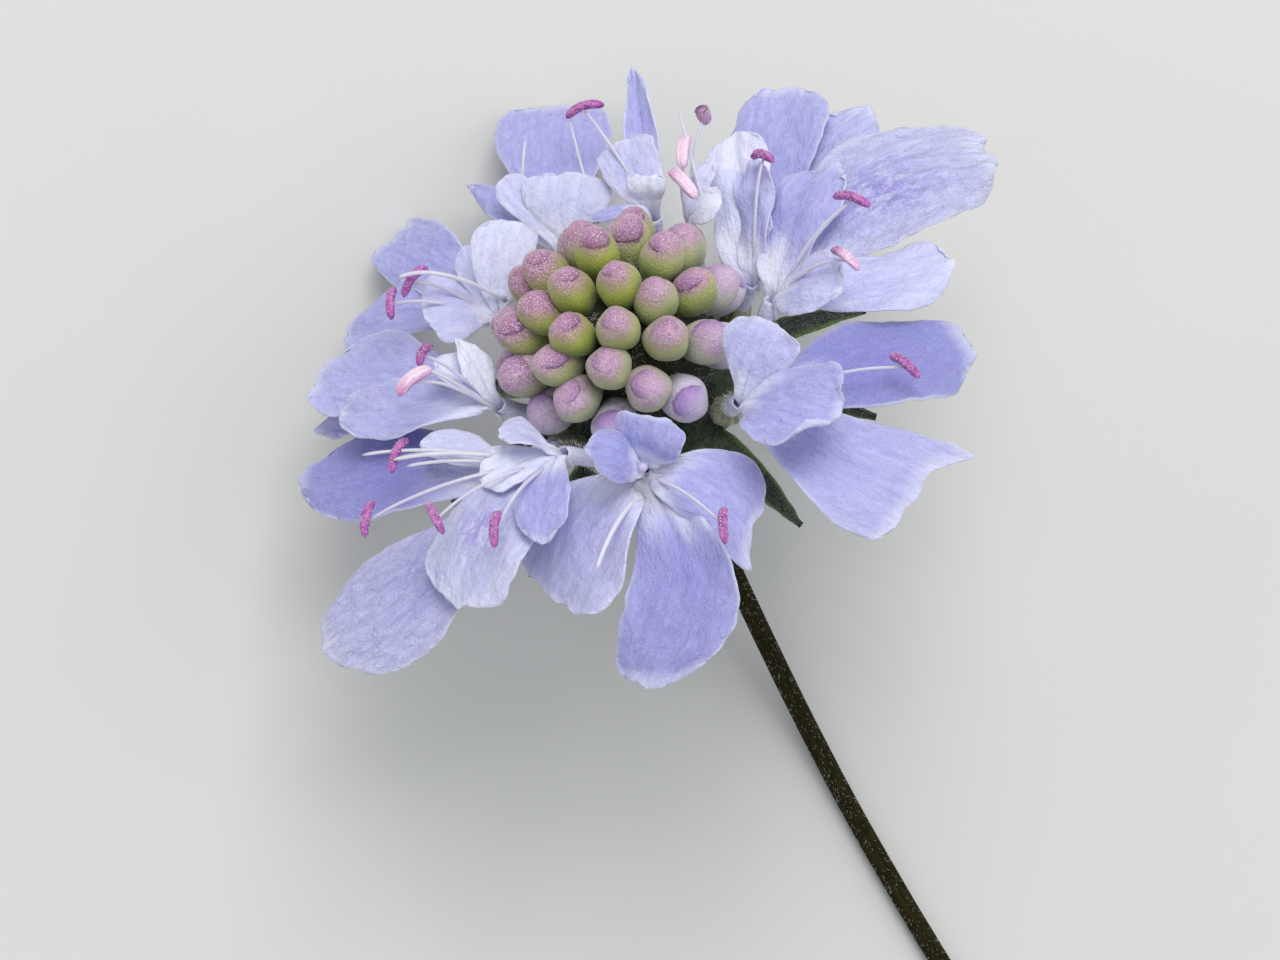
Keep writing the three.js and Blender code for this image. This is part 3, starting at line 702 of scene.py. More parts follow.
def petal_material():
    n = Nodes("petal", 0.6, **soft(0.3, 0.8, (0.9, 0.8, 1.0)), Sheen_Weight=0.12, Sheen_Roughness=0.4,
              Specular_IOR_Level=0.3)
    streaks = n.noise((3.6, 0.45), 4, 0.6)
    fibres = n.noise((9.0, 1.1), 3, 0.6)
    crinkle = n.noise((2.9, 1.35), 5, 0.62, 0.6)
    cells = n.cells((7.5, 5.5))
    glint = n.noise((16.0, 16.0), 1, 0.5)
    blue = n.mix(n.between(streaks, 0.3, 0.7), (156, 157, 213), (169, 170, 223))
    # painted highlight: lighter blue on the crests of the crinkles
    blue = n.mix(n.times(n.between(crinkle, 0.46, 0.66), 0.4), blue, (190, 192, 235))
    blue = n.mix(n.times(n.between(fibres, 0.5, 0.34), 0.14), blue, (135, 131, 205))
    # painted shade: darker blue on the lobes that lie in shade
    blue = n.mix(n.tone("deep"), blue, (126, 128, 190))
    white = n.mix(n.between(streaks, 0.35, 0.65), (220, 222, 253), (234, 236, 255))
    pale = n.mix(n.tone("pale"), blue, white)
    # the violet middles of the lobes, raised on some lobes as painted shade
    violet = n.times(n.tone("violet"), n.between(crinkle, 0.4, 0.56))
    coloured = n.mix(n.times(violet, 0.85), pale, (134, 124, 202))
    # dark veins at the roots of the lobes
    veins = n.times(n.between(fibres, 0.44, 0.3), n.tone("veins"))
    veined = n.mix(veins, coloured, (106, 102, 126))
    # painted shade: grey-brown in the throat, on the lobes whose roots are darkest
    throat_shade = n.times(n.between(n.tone("veins"), 0.6, 0.95), 0.75)
    throat_shaded = n.mix(throat_shade, veined, (124, 117, 128))
    # painted glints: white specks, more on the rougher lobes
    sparkle = n.times(n.between(glint, 0.62, 0.72), n.plus(0.2, n.times(n.tone("rough"), 0.5)))
    n.colour(n.mix(n.math("MINIMUM", sparkle, 0.8), throat_shaded, (252, 252, 255)))
    height = n.times(crinkle, n.plus(0.5, n.times(n.tone("rough"), 1.2)))
    height = n.plus(height, n.times(fibres, 0.15))
    height = n.plus(height, n.times(cells, 0.18))
    n.bump(height, 0.2)
    return n.material


def bud_material():
    n = Nodes("bud", 0.5, **soft(0.22, 0.6, (1.0, 0.75, 0.5)), Sheen_Weight=0.25, Sheen_Roughness=0.45,
              Specular_IOR_Level=0.4)
    blotch = n.noise((1.3,) * 3, 4, 0.6)
    wrinkle = n.noise((5.0,) * 3, 4, 0.6, 0.8)
    grain = n.cells((9.0,) * 3, 0.3)
    glint = n.noise((20.0,) * 3, 1, 0.5)
    # level runs up each bud from green through cream to rose, its own colour; the darker low ends of green
    # and flank are painted shade at the buds' feet
    level = n.plus(n.tone("level"), n.times(n.minus(blotch, 0.5), 0.5))
    green = n.mix(n.between(level, -0.5, 0.45), (94, 117, 20), (160, 170, 72))
    cream = n.mix(n.between(level, 0.3, 0.75), green, (168, 147, 118))
    rose = n.mix(n.between(level, 0.58, 1.02), cream, (176, 128, 158))
    flank = n.mix(n.between(level, -0.3, 0.7), (174, 165, 184), (211, 202, 229))
    side = n.mix(n.tone("ripe"), rose, flank)
    # the outer lobe of the closed corolla
    reach = n.plus(n.tone("reach"), n.times(n.minus(wrinkle, 0.5), 0.16))
    lid = n.between(reach, 1.04, 0.96)
    inside = n.between(reach, 0.3, 1.0)
    young_lid = n.mix(inside, (172, 118, 160), (138, 82, 136))
    ripe_lid = n.mix(inside, (190, 169, 217), (162, 131, 199))
    lid_colour = n.mix(n.tone("ripe"), young_lid, ripe_lid)
    lidded = n.mix(n.times(lid, n.tone("lid")), side, lid_colour)
    seam = n.between(n.math("ABSOLUTE", n.minus(reach, 1.0)), 0.06, 0.0)
    seam = n.times(seam, n.tone("lid"))
    young = n.minus(1.0, n.times(n.tone("ripe"), 0.8))
    seamed = n.mix(n.times(n.times(seam, 0.8), young), lidded, (103, 50, 99))
    rosy = n.times(n.between(level, 0.3, 0.9), n.minus(1.0, n.tone("ripe")))
    rosy = n.plus(rosy, n.times(n.tone("granular"), 0.7))
    hollows = n.times(n.between(wrinkle, 0.54, 0.38), rosy)
    shaded = n.mix(n.times(hollows, 0.45), seamed, (131, 81, 112))
    # painted glints: pale dots, more on rosy and granular buds
    glint_dots = n.times(n.between(glint, 0.58, 0.68), n.plus(0.1, n.times(rosy, 0.8)))
    n.colour(n.mix(glint_dots, shaded, (230, 219, 226)))
    height = n.plus(n.times(grain, -0.6), n.times(wrinkle, 0.9))
    height = n.plus(height, n.times(n.times(lid, n.tone("lid")), 0.5))
    n.bump(n.minus(height, n.times(seam, 0.8)), 0.045)
    return n.material


def bract_material():
    n = Nodes("bract", 0.6, **soft(0.08, 0.5, (0.4, 1.0, 0.2)), Sheen_Weight=0.25, Sheen_Roughness=0.5)
    mottle = n.noise((2.2,) * 3, 5, 0.65)
    pits = n.cells((7.0,) * 3, 0.3)
    green = n.mix(n.between(mottle, 0.36, 0.64), (29, 44, 25), (68, 88, 50))
    rim = n.mix(n.tone("rim"), green, (103, 129, 57))
    n.colour(n.mix(n.times(n.between(pits, 0.2, 0.08), 0.5), rim, (151, 162, 129)))
    n.bump(n.plus(n.times(pits, -1.0), mottle), 0.09)
    return n.material


def stem_material():
    n = Nodes("stem", 0.85, Specular_IOR_Level=0.12)
    ribs = n.noise((26.0, 0.35), 3, 0.55)
    mottle = n.noise((2.4, 1.3, 2.4), 5, 0.65)
    specks = n.cells((6.5, 4.5, 6.5), 0.3)
    # its own dark brown green, darkened further all over as painted shade
    green = n.mix(n.between(mottle, 0.36, 0.62), (24, 24, 6), (42, 40, 13))
    brown = n.mix(n.times(n.between(ribs, 0.45, 0.62), 0.8), green, (36, 25, 10))
    coloured = n.mix(n.times(n.between(specks, 0.22, 0.1), 0.4), brown, (78, 70, 38))
    n.colour(n.mix(n.tone("cut"), coloured, (175, 180, 121)))
    n.bump(n.plus(n.times(specks, -0.7), ribs), 0.06)
    return n.material


def filament_material():
    n = Nodes("filament", 0.35, **soft(0.6, 0.6, (1.0, 0.9, 1.0)), Transmission_Weight=0.15, IOR=1.35)
    streaks = n.noise((6.0, 0.7), 2, 0.5)
    white = n.mix(n.between(streaks, 0.35, 0.65), (222, 218, 246), (248, 247, 253))
    n.colour(n.mix(n.tone("tint"), white, (186, 176, 222)))
    n.bump(streaks, 0.02)
    return n.material


def anther_material():
    n = Nodes("anther", 0.32, **soft(0.25, 0.5, (1.0, 0.3, 0.8)), Specular_IOR_Level=0.6)
    grain = n.cells((11.0,) * 3, 0.3)
    mottle = n.noise((3.0,) * 3, 3, 0.6)
    pink = n.mix(n.between(mottle, 0.35, 0.65), (146, 71, 148), (190, 112, 182))
    stripes = n.noise((5.0, 0.4), 2)
    young = n.mix(n.between(stripes, 0.45, 0.58), (237, 211, 230), (219, 154, 198))
    coloured = n.mix(n.tone("young"), pink, young)
    n.colour(n.mix(n.tone("pollen"), coloured, (230, 205, 227)))
    n.bump(n.times(grain, -1.0), 0.04)
    return n.material


def down_material():
    n = Nodes("down", 0.5, **soft(0.3, 0.3, (1.0, 1.0, 1.0)), Sheen_Weight=0.3)
    n.colour(n.mix(n.noise((1.5,) * 3), (214, 208, 206), (250, 248, 246)))
    return n.material


def core_material():
    n = Nodes("core", 0.85)
    mottle = n.noise((2.0,) * 3, 4)
    n.colour(n.mix(mottle, (14, 12, 6), (52, 54, 24)))
    n.bump(mottle, 0.1)
    return n.material


def cup_material():
    n = Nodes("cup", 0.6, **soft(0.15, 0.5, (0.6, 1.0, 0.4)), Sheen_Weight=0.3)
    ribs = n.noise((16.0, 0.6), 2)
    n.colour(n.mix(n.between(ribs, 0.4, 0.6), (110, 121, 77), (173, 173, 138)))
    n.bump(ribs, 0.05)
    return n.material


# ---- petals ----
def lobe_frame(spec, throat):
    """The root of a lobe, its line to the tip, and the unit vectors along, beside and up from it."""
    direction = unit(on_head(spec["tip"]) - throat)
    root = throat + direction * LOBE_START
    looks = FACE - way_out(throat) * spec["turn"] * max(0, np.dot(direction, FACE))
    flat = unit(looks - direction * np.dot(looks, direction))
    roll = math.radians(-spec["roll"])
    side = turned(np.cross(direction, flat), direction, roll)
    return root, on_head(spec["tip"]) - root, direction, side, turned(flat, direction, roll)


def lobe_outline(spec, u, v, length, large, seed):
    """Half the width of a lobe, and how far each point is from its root to its tip."""
    width, corner, ends = spec["width"], spec["corner"], LOBE_ENDS[spec["end"]]
    calm = min(1, width / 3)  # waves are lower on a narrow lobe
    past = np.maximum(0, (v - ends["widest"]) / (1 - ends["widest"]))
    swell = np.sin(np.minimum(1, v / ends["widest"]) * np.pi / 2) ** spec["fan"]
    taper = ends["end"] + (1 - ends["end"]) * (1 - past ** ends["power"]) ** (1 / ends["power"])
    root_share = np.clip(spec["root"] / width, ends["root"], 0.7)
    half = (root_share + (1 - root_share) * swell) * taper * width / 2
    bays = RIM_BAYS[0] * noise2(length * v / 1.7 + 9 * np.sign(u), seed, 1)
    bays = bays + RIM_BAYS[1] * noise2(length * v / 0.6 + 5 * np.sign(u), seed, 2)
    half = half + bays * smoothstep(0.15, 0.5, v) * np.abs(u) ** 3 * calm
    across = u * width / 2
    teeth = (RIM_TEETH[0] * noise2(across / 0.9, seed, 3)
             + RIM_TEETH[1] * noise2(across / 0.4, seed, 4)) / length
    scallop = SCALLOP * np.sin(np.pi * u) ** 2 if large else 0
    way = (v * (1 - ends["corners"] * np.abs(u) ** 2.4 * v**2)
           - spec["notch"] * np.exp(-((u / 0.22) ** 2)) * v**6
           + abs(corner) * np.maximum(0, -u * np.sign(corner)) ** 2.5 * v**4
           - scallop * v**6 + teeth * v**5 * calm)
    return half, way


def lobe_tones(spec, u, v, large, seed):
    """How pale and violet a lobe is at each point, how dark its root and how crinkled it is, and where
    painted shade and painted glints go; v is below 0 on its claw.
    """
    base_white = smoothstep(0.42, 0.02, v + 0.1 * noise2(3 * u, 4 * v, seed + 7))
    rim_white = RIM_WHITE * smoothstep(0.9, 1.0, np.maximum(np.abs(u) ** 1.5, v))
    pale = spec["pale"] + (1 - spec["pale"]) * np.maximum(base_white, rim_white)
    patch = spec.get("patch", LARGE_PATCH if large else 0.0)
    spread = np.exp(-((u / 0.6) ** 2) - ((v - 0.55) / 0.22) ** 2)
    violet = patch * spread * (0.75 + 0.5 * noise2(3 * u, 5 * v, seed + 8))
    return {
        "pale": np.clip(pale, 0, 1),
        "violet": np.clip(violet, 0, 1),
        "veins": spec["veins"] * smoothstep(0.55, 0.02, v),
        "rough": spec["rough"] * smoothstep(0.1, 0.4, v),
        "deep": spec["deep"] * np.ones_like(u),
    }


def add_lobe(shape, throat, axis, spec, index, seed):
    """One lobe of a corolla with its claw. index and seed make its waves its own."""
    root, chord, direction, side, face = lobe_frame(spec, throat)
    length = np.linalg.norm(chord)
    large = length > LARGE_LOBE
    rows, columns = (56, 40) if large else (36, 28)
    v = 1 - (1 - np.linspace(0, 1, rows + 1)[:, None]) ** 1.5  # from root to tip
    u = np.linspace(-1, 1, columns + 1)[None, :] * np.ones_like(v)  # from side to side
    half, way = lobe_outline(spec, u, v, length, large, seed)

    arch = 4 * way * (1 - way)
    ripple = WAVE * u**2 * np.sin(9 * v + 2.1 * u + index) if large else 0
    flutter = (FLUTTER[0] if large else FLUTTER[1]) * v**3 * noise2(2.6 * u + 3, 2.0 * v, seed + 5)
    crinkle = (CRINKLE[0] * noise2(1.9 * u * half, 1.4 * v * length, seed + 6)
               + CRINKLE[1] * noise2(3.9 * u * half, 2.9 * v * length, seed + 9)) * smoothstep(0.15, 0.6, v)
    channel = -CHANNEL * np.exp(-((u / 0.16) ** 2)) * (1 - v) * min(1, spec["width"] / 3)
    crease = spec["fold"] * half * np.abs(u)
    lift = spec["bow"] * arch + spec["cup"] * half * u**2 + ripple + flutter + crinkle + channel + crease
    place = (root + chord * way[..., None] + face * lift[..., None]
             + side * (spec["sway"] * arch + half * u)[..., None])

    # the claw runs from the lobe's root down into the throat
    c = np.linspace(1, 0, CLAW_ROWS + 1)[:-1, None]
    inner = unit(direction - axis * np.dot(direction, axis))
    low = throat - axis * CLAW_DEPTH + inner * CLAW_ASIDE
    bend = throat + inner * CLAW_BEND[0] - axis * CLAW_BEND[1]
    line = (1 - c) ** 2 * root + 2 * c * (1 - c) * bend + c**2 * low
    claw_half = (half[0] * (1 - c) + CLAW_HALF * c) * u[:1]
    trough = 0.25 * u[:1] ** 2 * c * (1 - c) * 2
    claw = line[:, None] + side * claw_half[..., None] + face * trough[..., None]

    u_all = np.concatenate([np.repeat(u[:1], CLAW_ROWS, axis=0), u])
    v_all = np.concatenate([-0.12 * c, v]) * np.ones_like(u_all)
    half_all = np.concatenate([np.abs(claw_half[:, -1:]) * np.ones_like(u[:1]), half])
    on_lobe = np.clip(v_all, 0, 1)
    body = (1 - u_all**4) * (1 - on_lobe**10)
    thick = PETAL_RIM + (PETAL_MIDDLE - PETAL_RIM) * body * (1 - 0.5 * on_lobe)
    uv = np.stack([u_all * half_all + 20 * seed, v_all * length + 7 * seed], axis=-1)
    tones = lobe_tones(spec, u_all, v_all, large, seed)
    add_blade(shape, np.concatenate([claw, place]), thick, uv, **tones)


def tube_line(spec):
    """The middle of a floret's tube, from its cup to its throat."""
    base = on_head((spec["base"], TUBE_BASE_RADIUS, TUBE_BASE_RISE))
    bend = on_head((spec["base"], TUBE_BASE_RADIUS + TUBE_BEND[0], TUBE_BASE_RISE + TUBE_BEND[1]))
    return bezier(base, bend, on_head(spec["throat"]), TUBE_STEPS)


def add_corolla_tube(shape, spec):
    """The white tube from its neck up to the throat, with a hollow mouth."""
    line, radii = tube_line(spec), through(TUBE_RADII, TUBE_STEPS)
    axis = unit(line[-1] - line[-4])
    outside = line[TUBE_NECK:-4]
    up = np.linspace(0, 1, len(outside))
    outer_radii = radii[TUBE_NECK:-4] * (0.82 + 0.1 * smoothstep(0, 0.25, up))
    outer_radii = outer_radii + spec.get("mouth", TUBE_MOUTH) * up**3
    depth = np.linspace(0, 1, 9)[:, None]
    inside = outside[-1] + axis * 0.10 - axis * depth * CLAW_DEPTH
    inner_radii = 0.86 * outer_radii[-1] * (1 - 0.55 * depth[:, 0] ** 0.7)
    points = np.concatenate([outside, inside])
    _, normal, side = frames_along(outside, FACE)
    normal = np.concatenate([normal, np.repeat(normal[-1:], len(inside), axis=0)])
    side = np.concatenate([side, np.repeat(side[-1:], len(inside), axis=0)])
    angle = angles(TUBE_SIDES)
    lobed = 1 + 0.05 * np.cos(5 * angle)[None] * np.linspace(0, 1, len(points))[:, None]
    radius = np.concatenate([outer_radii, inner_radii])[:, None] * lobed
    rings = rings_along(points, normal, side, radius, angle)
    uv = np.stack(np.broadcast_arrays(angle * 0.6, np.arange(len(points))[:, None] * 0.15), axis=-1)
    bottom = (len(points) - 1) * TUBE_SIDES
    cap = tuple(range(bottom, bottom + TUBE_SIDES))
    faces = [*grid_faces(len(points), TUBE_SIDES, wrap=True), cap]
    shape.add(rings, faces, uv, pale=0.85, violet=0.0, veins=0.0, rough=0.0, deep=0.0)


def build_petals(material):
    """One piece for each floret: its lobes and its tube."""
    for number, spec in enumerate(FLORETS):
        shape = Shape()
        throat = on_head(spec["throat"])
        line = tube_line(spec)
        axis = unit(line[-1] - line[-6] + FACE * 0.5)
        for index, one in enumerate(spec["lobes"]):
            add_lobe(shape, throat, axis, one, index, 1 + number * 7 + index)
        add_corolla_tube(shape, spec)
        shape.build(spec["name"] + ".petals", material, "petal", [spec["name"]])


def build_cups(material, down, random):
    """The ovary of each floret in its ribbed, hairy cup."""
    shape, hairs = Shape(), Shape()
    radii = through(TUBE_RADII, TUBE_STEPS)
    ribs = ribbed(CUP_RIBS, CUP_SIDES)
    for spec in FLORETS:
        line = tube_line(spec)
        add_tube(shape, line[:CUP_STEPS], radii[:CUP_STEPS] * 0.95, CUP_SIDES, FACE, ribs)
        along, normal, side = frames_along(line, FACE)
        k = random.integers(2, TUBE_STEPS - 3, TUBE_DOWN)
        outer = spokes(normal[k], side[k], random.uniform(0, 2 * np.pi, TUBE_DOWN))
        lean = along[k] * 0.5 + random.normal(0, 0.35, (TUBE_DOWN, 3))
        add_hairs(hairs, line[k] + outer * radii[k][:, None] * 0.88, outer + lean,
                  random.uniform(0.18, 0.42, TUBE_DOWN))
    shape.build("floret_cups", material, "bract")
    hairs.build("tube_hairs", down, "filament")


# ---- stamens ----
def filament_line(root, tip, arch=STAMEN_ARCH):
    bend = root * 0.45 + tip * 0.55 + FACE * arch
    return bezier(root - FACE * STAMEN_ROOT, bend, tip, FILAMENT_STEPS)


def add_anther(shape, tip, spec, random):
    """A curved anther with a groove above, and the pollen on it once it is ripe."""
    lie, above = turned(way_out(tip), FACE, math.radians(spec["lie"])), FACE
    if spec["stands"]:
        lie, above = FACE, ACROSS
    along = np.linspace(-1, 1, ANTHER_RINGS)
    young = 1.0 if spec["young"] else 0.0
    faded = smoothstep(-0.6, 0.2, along) if spec["faded"] else young
    half = ANTHER_LENGTH / 2 * spec["length"]
    bend = FACE * (ANTHER_ARCH * (1 - along**2))[:, None] * ANTHER_BEND
    line = tip + lie * (along * half)[:, None] + bend
    radii = ANTHER_RADIUS * spec["plump"] * (1 - 0.98 * np.abs(along) ** 5) ** 0.5 * (1 + 0.4 * young)
    angle = angles(ANTHER_SIDES)
    groove = 1 - 0.26 * np.exp(-((np.minimum(angle, 2 * np.pi - angle) / 0.4) ** 2))
    sides_cut = 1 - 0.10 * np.cos(2 * angle) ** 2
    add_tube(shape, line, radii, ANTHER_SIDES, above, groove * sides_cut, young=faded, pollen=spec["dust"])
    if not young:
        count = round(GRAINS * spec["plump"] ** 3)
        k = random.integers(3, ANTHER_RINGS - 3, count)
        outer = spokes(above, unit(np.cross(lie, above)), random.normal(0, 1.2, count))
        add_grains(shape, line[k] + outer * (radii[k] * 0.93)[:, None])


def add_grains(shape, spots):
    """Small eight-sided grains of pollen."""
    corners = np.array([(1, 0, 0), (0, 1, 0), (-1, 0, 0), (0, -1, 0), (0, 0, 1), (0, 0, -1)])
    faces = [(0, 1, 4), (1, 2, 4), (2, 3, 4), (3, 0, 4), (1, 0, 5), (2, 1, 5), (3, 2, 5), (0, 3, 5)]
    start = np.arange(len(spots))[:, None] * len(corners)
    shape.add(spots[:, None] + corners * GRAIN_RADIUS, np.concatenate([start + np.array(f) for f in faces]),
              young=0.0, pollen=1.0)


def build_stamens(filament, anther, random):
    """Filaments with their anthers, bare filaments and stigmas."""
    threads, heads = Shape(), Shape()
    for spec in FLORETS:
        for one in spec["stamens"]:
            tip = on_head(one["tip"])
            line = filament_line(on_head(spec["throat"]), tip)
            add_tube(threads, line, np.linspace(*FILAMENT, len(line)), FILAMENT_SIDES, ACROSS,
                     tint=np.linspace(0.1, 0.5, len(line)))
            add_anther(heads, tip, one, random)
    for root, tip, arch, radius in BARE_FILAMENTS:
        line = filament_line(on_head(root), on_head(tip), arch)
        radii = radius * np.linspace(1.0, 0.75, len(line))
        radii[-1] *= 0.5
        add_tube(threads, line, radii, FILAMENT_SIDES, ACROSS, tint=np.linspace(0.0, 0.15, len(line)))
    for place, radius in STIGMAS:
        along = np.linspace(-1, 1, 13)
        line = on_head(place) + FACE * (along * radius)[:, None]
        add_tube(threads, line, radius * np.sqrt(1.001 - along**2), STIGMA_SIDES, ACROSS, tint=0.7)
    threads.build("filaments", filament, "filament")
    heads.build("anthers", anther, "anther")


# ---- buds ----
def bud_frame(tilt, clock, whim):
    """The middle of a bud and the unit vectors along it, forward and across."""
    out = outward(clock)
    t, lean = math.radians(tilt), math.radians(tilt * BUD_LEAN)
    axis = out * math.sin(lean) + FACE * math.cos(lean)
    forward = out * math.cos(lean) - FACE * math.sin(lean)
    across = np.cross(axis, forward)
    middle = on_head(DOME_CENTRE) + out * DOME_RADIUS * math.sin(t) + FACE * DOME_RISE * math.cos(t)
    deeper = BACK_SINK * max(0, math.cos(math.radians(clock - BACK_SIDE))) * min(1, tilt / 60)
    middle = middle + axis * 0.12 * whim[0] + across * 0.1 * whim[3] - FACE * deeper
    return middle, axis, forward, across


def add_bud(shape, hairs, ring, number, seed, random):
    """One bud of a ring, with its outer lobe closing over it like a lid."""
    tilt, count, first, size, ripeness = ring
    clock = first + 360 * number / count
    whim = [math.sin(seed * step) for step in (2.1, 5.3, 3.7, 7.9)]
    middle, axis, forward, across = bud_frame(tilt, clock, whim)
    theta = np.linspace(0.02, np.pi - 0.02, BUD_ROWS)[:, None]
    phi = angles(BUD_COLUMNS)[None]
    h = np.cos(theta) * np.ones_like(phi)
    upper = np.clip(1 - np.abs(h) ** 1.9, 0, 1) ** (1 / 1.9)
    lower = np.clip(1 - np.abs(h) ** 1.6, 0, 1) ** 0.9
    girth = np.where(h >= 0, upper, lower)
    dx, dy = np.sin(theta) * np.cos(phi), np.sin(theta) * np.sin(phi)

    # the lid looks along the face axis, and further out the riper the bud is
    early = math.cos(math.radians(clock - RIPE_SIDE))
    ripe = np.clip(ripeness + 0.1 * whim[1] + RIPE_LEAD * ripeness * early, 0, 1)
    lid_tilt = math.radians(62 * ripe + 9 * whim[0] - tilt * BUD_LEAN)
    lid_turn = 0.3 * whim[2] / max(0.4, abs(lid_tilt))
    ahead = dx * math.cos(lid_turn) + dy * math.sin(lid_turn)
    aside = dy * math.cos(lid_turn) - dx * math.sin(lid_turn)
    lid_x = ahead * math.cos(lid_tilt) - h * math.sin(lid_tilt)
    lid_z = ahead * math.sin(lid_tilt) + h * math.cos(lid_tilt)
    spread = 0.62 + 0.14 * ripe + 0.08 * whim[3]
    reach = np.hypot(lid_x / spread, aside / (spread * 1.2)) + 2 * (lid_z < 0)
    lid = smoothstep(1.1, 0.9, reach)
    seam = np.exp(-((reach - 1.05) / 0.12) ** 2)
    closed = smoothstep(-0.3, 0.6, (math.copysign(1, whim[2]) * aside - 0.5 * lid_x) / spread)

    swell = 1 + (0.03 * lid - 0.025 * seam) * closed
    wobble = 1 + 0.035 * np.cos(3 * phi + seed) + 0.025 * np.cos(5 * phi + 2.3 * seed)
    radial = BUD_RADIUS * size * girth * wobble * swell
    axial = np.where(h >= 0, BUD_TOP * (1 - 0.25 * ripeness), BUD_ROOT) * size * h * swell
    points = (middle + forward * (radial * np.cos(phi))[..., None]
              + across * (radial * np.sin(phi))[..., None] + axis * axial[..., None])
    granular = max(0, -early) * min(1, tilt / GRANULAR_TILT)
    tones = {
        # level: how far up the bud a point lies, which sets its colour and the painted shade at its foot
        "level": 0.3 * ripe + 0.35 * granular + np.cos(lid_tilt * 0.9) * h + np.sin(lid_tilt * 0.9) * dx,
        "reach": np.minimum(reach, 2),
        "ripe": ripe * 0.85,
        "granular": granular,
        "lid": closed * (0.6 + 0.4 * ripe + 0.15 * whim[3]),
    }
    grid = points.reshape(-1, 3)
    ends = points[0].mean(0), points[-1].mean(0)
    faces = [face[::-1] for face in closed_faces(BUD_ROWS, BUD_COLUMNS)]
    shape.add(np.concatenate([grid, ends]), faces,
              **{name: with_ends(value, BUD_ROWS, BUD_COLUMNS) for name, value in tones.items()})

    row = random.integers(0, int(BUD_ROWS * 0.62), BUD_DOWN)
    roots = grid[row * BUD_COLUMNS + random.integers(0, BUD_COLUMNS, BUD_DOWN)]
    outwards = unit(roots - (middle - axis * 0.3))
    add_hairs(hairs, roots - outwards * 0.01, outwards + random.normal(0, 0.35, (BUD_DOWN, 3)),
              random.uniform(0.05, 0.15, BUD_DOWN), BUD_HAIR)


def build_buds(material, down, core, random):
    """The dome of buds on its downy core."""
    shape, hairs = Shape(), Shape()
    seed = 0
    for ring in BUD_RINGS:
        for number in range(ring[1]):
            seed += 1
            add_bud(shape, hairs, ring, number, seed, random)
    shape.build("bud_dome.buds", material, "bud", ["bud_dome"])

    middle = Shape()
    rises, radii = (through(column, CORE_STEPS) for column in zip(*DOME_CORE))
    add_tube(middle, HEAD + FACE * rises[:, None], radii, CORE_SIDES, ACROSS)
    middle.build("bud_dome.core", core, "bract")
    k = random.integers(0, CORE_STEPS, CORE_DOWN)
    sideways = outward(np.degrees(random.uniform(0, 2 * np.pi, CORE_DOWN)))
    roots = HEAD + FACE * rises[k][:, None] + sideways * radii[k][:, None]
    add_hairs(hairs, roots, sideways + FACE * 0.6 + random.normal(0, 0.3, (CORE_DOWN, 3)),
              random.uniform(0.3, 0.7, CORE_DOWN))
    hairs.build("bud_down", down, "filament")


# ---- involucre ----
def build_involucre(material, down, random):
    """The receptacle and its row of hairy bracts."""
    shape, hairs = Shape(), Shape()
    rises, radii = (through(column, RECEPTACLE_STEPS) for column in zip(*RECEPTACLE))
    add_tube(shape, HEAD + FACE * rises[:, None], radii, RECEPTACLE_SIDES, ACROSS,
             ribbed(RECEPTACLE_RIBS, RECEPTACLE_SIDES), rim=0.0)
    share, drop = (through(column, BRACT_ROWS)[:, None] for column in zip(*BRACT_PROFILE))
    v = np.linspace(0, 1, BRACT_ROWS + 1)[:, None]
    u = np.linspace(-1, 1, BRACT_COLUMNS + 1)[None, :] * np.ones_like(v)
    uv = np.stack(np.broadcast_arrays(u * BRACT_WIDTH / 2, v * (BRACT_REACH - BRACT_ROOT)), axis=-1)
    for index in range(BRACT_COUNT):
        clock = BRACT_CLOCK + 360 * index / BRACT_COUNT
        seed = 300 + index
        radius = BRACT_ROOT + (BRACT_REACH - BRACT_ROOT) * v * (1 - 0.05 * u**4 * v**6)
        rounding = np.sqrt(np.clip(1 - np.maximum(0, (v - 0.86) / 0.14) ** 2, 0.02, 1))
        half = (share * BRACT_WIDTH / 2) * rounding
        half = half * (1 + 0.05 * noise2(6 * v + 3 * np.sign(u), seed, 1))
        across = outward(clock + 90)
        lift = BRACT_RISE + drop + 0.22 * u**2 * share + 0.12 * noise2(3 * v, seed, 2) * v
        lift = lift + 0.03 * noise2(4 * u, 14 * v, seed)
        middle = (HEAD + outward(clock) * radius[..., None] + across * (half * u)[..., None]
                  + FACE * lift[..., None])
        thick = 0.08 + 0.2 * (1 - u**2) * (1 - 0.6 * v)
        rim = smoothstep(0.72, 1.0, np.abs(u)) * np.ones_like(v)
        add_blade(shape, middle, thick, uv, rim=rim)

        j = random.integers(3, BRACT_ROWS + 1, BRACT_DOWN)
        i = np.where(random.random(BRACT_DOWN) < 0.5, random.choice([0, BRACT_COLUMNS], BRACT_DOWN),
                     random.integers(0, BRACT_COLUMNS + 1, BRACT_DOWN))
        on_top = np.where(random.random(BRACT_DOWN) < 0.6, 1.0, -1.0)
        normal = FACE * on_top[:, None]
        edge_push = across * (np.sign(u[j, i]) * (np.abs(u[j, i]) > 0.9))[:, None] * 1.2
        lean = normal + edge_push + outward(clock) * 0.5 + random.normal(0, 0.3, (BRACT_DOWN, 3))
        add_hairs(hairs, middle[j, i] + normal * (thick[j, i] * 0.9)[:, None], lean,
                  random.uniform(0.10, 0.28, BRACT_DOWN), BRACT_HAIR)
    shape.build("involucre.bracts", material, "bract", ["involucre"])
    hairs.build("bract_hairs", down, "filament")


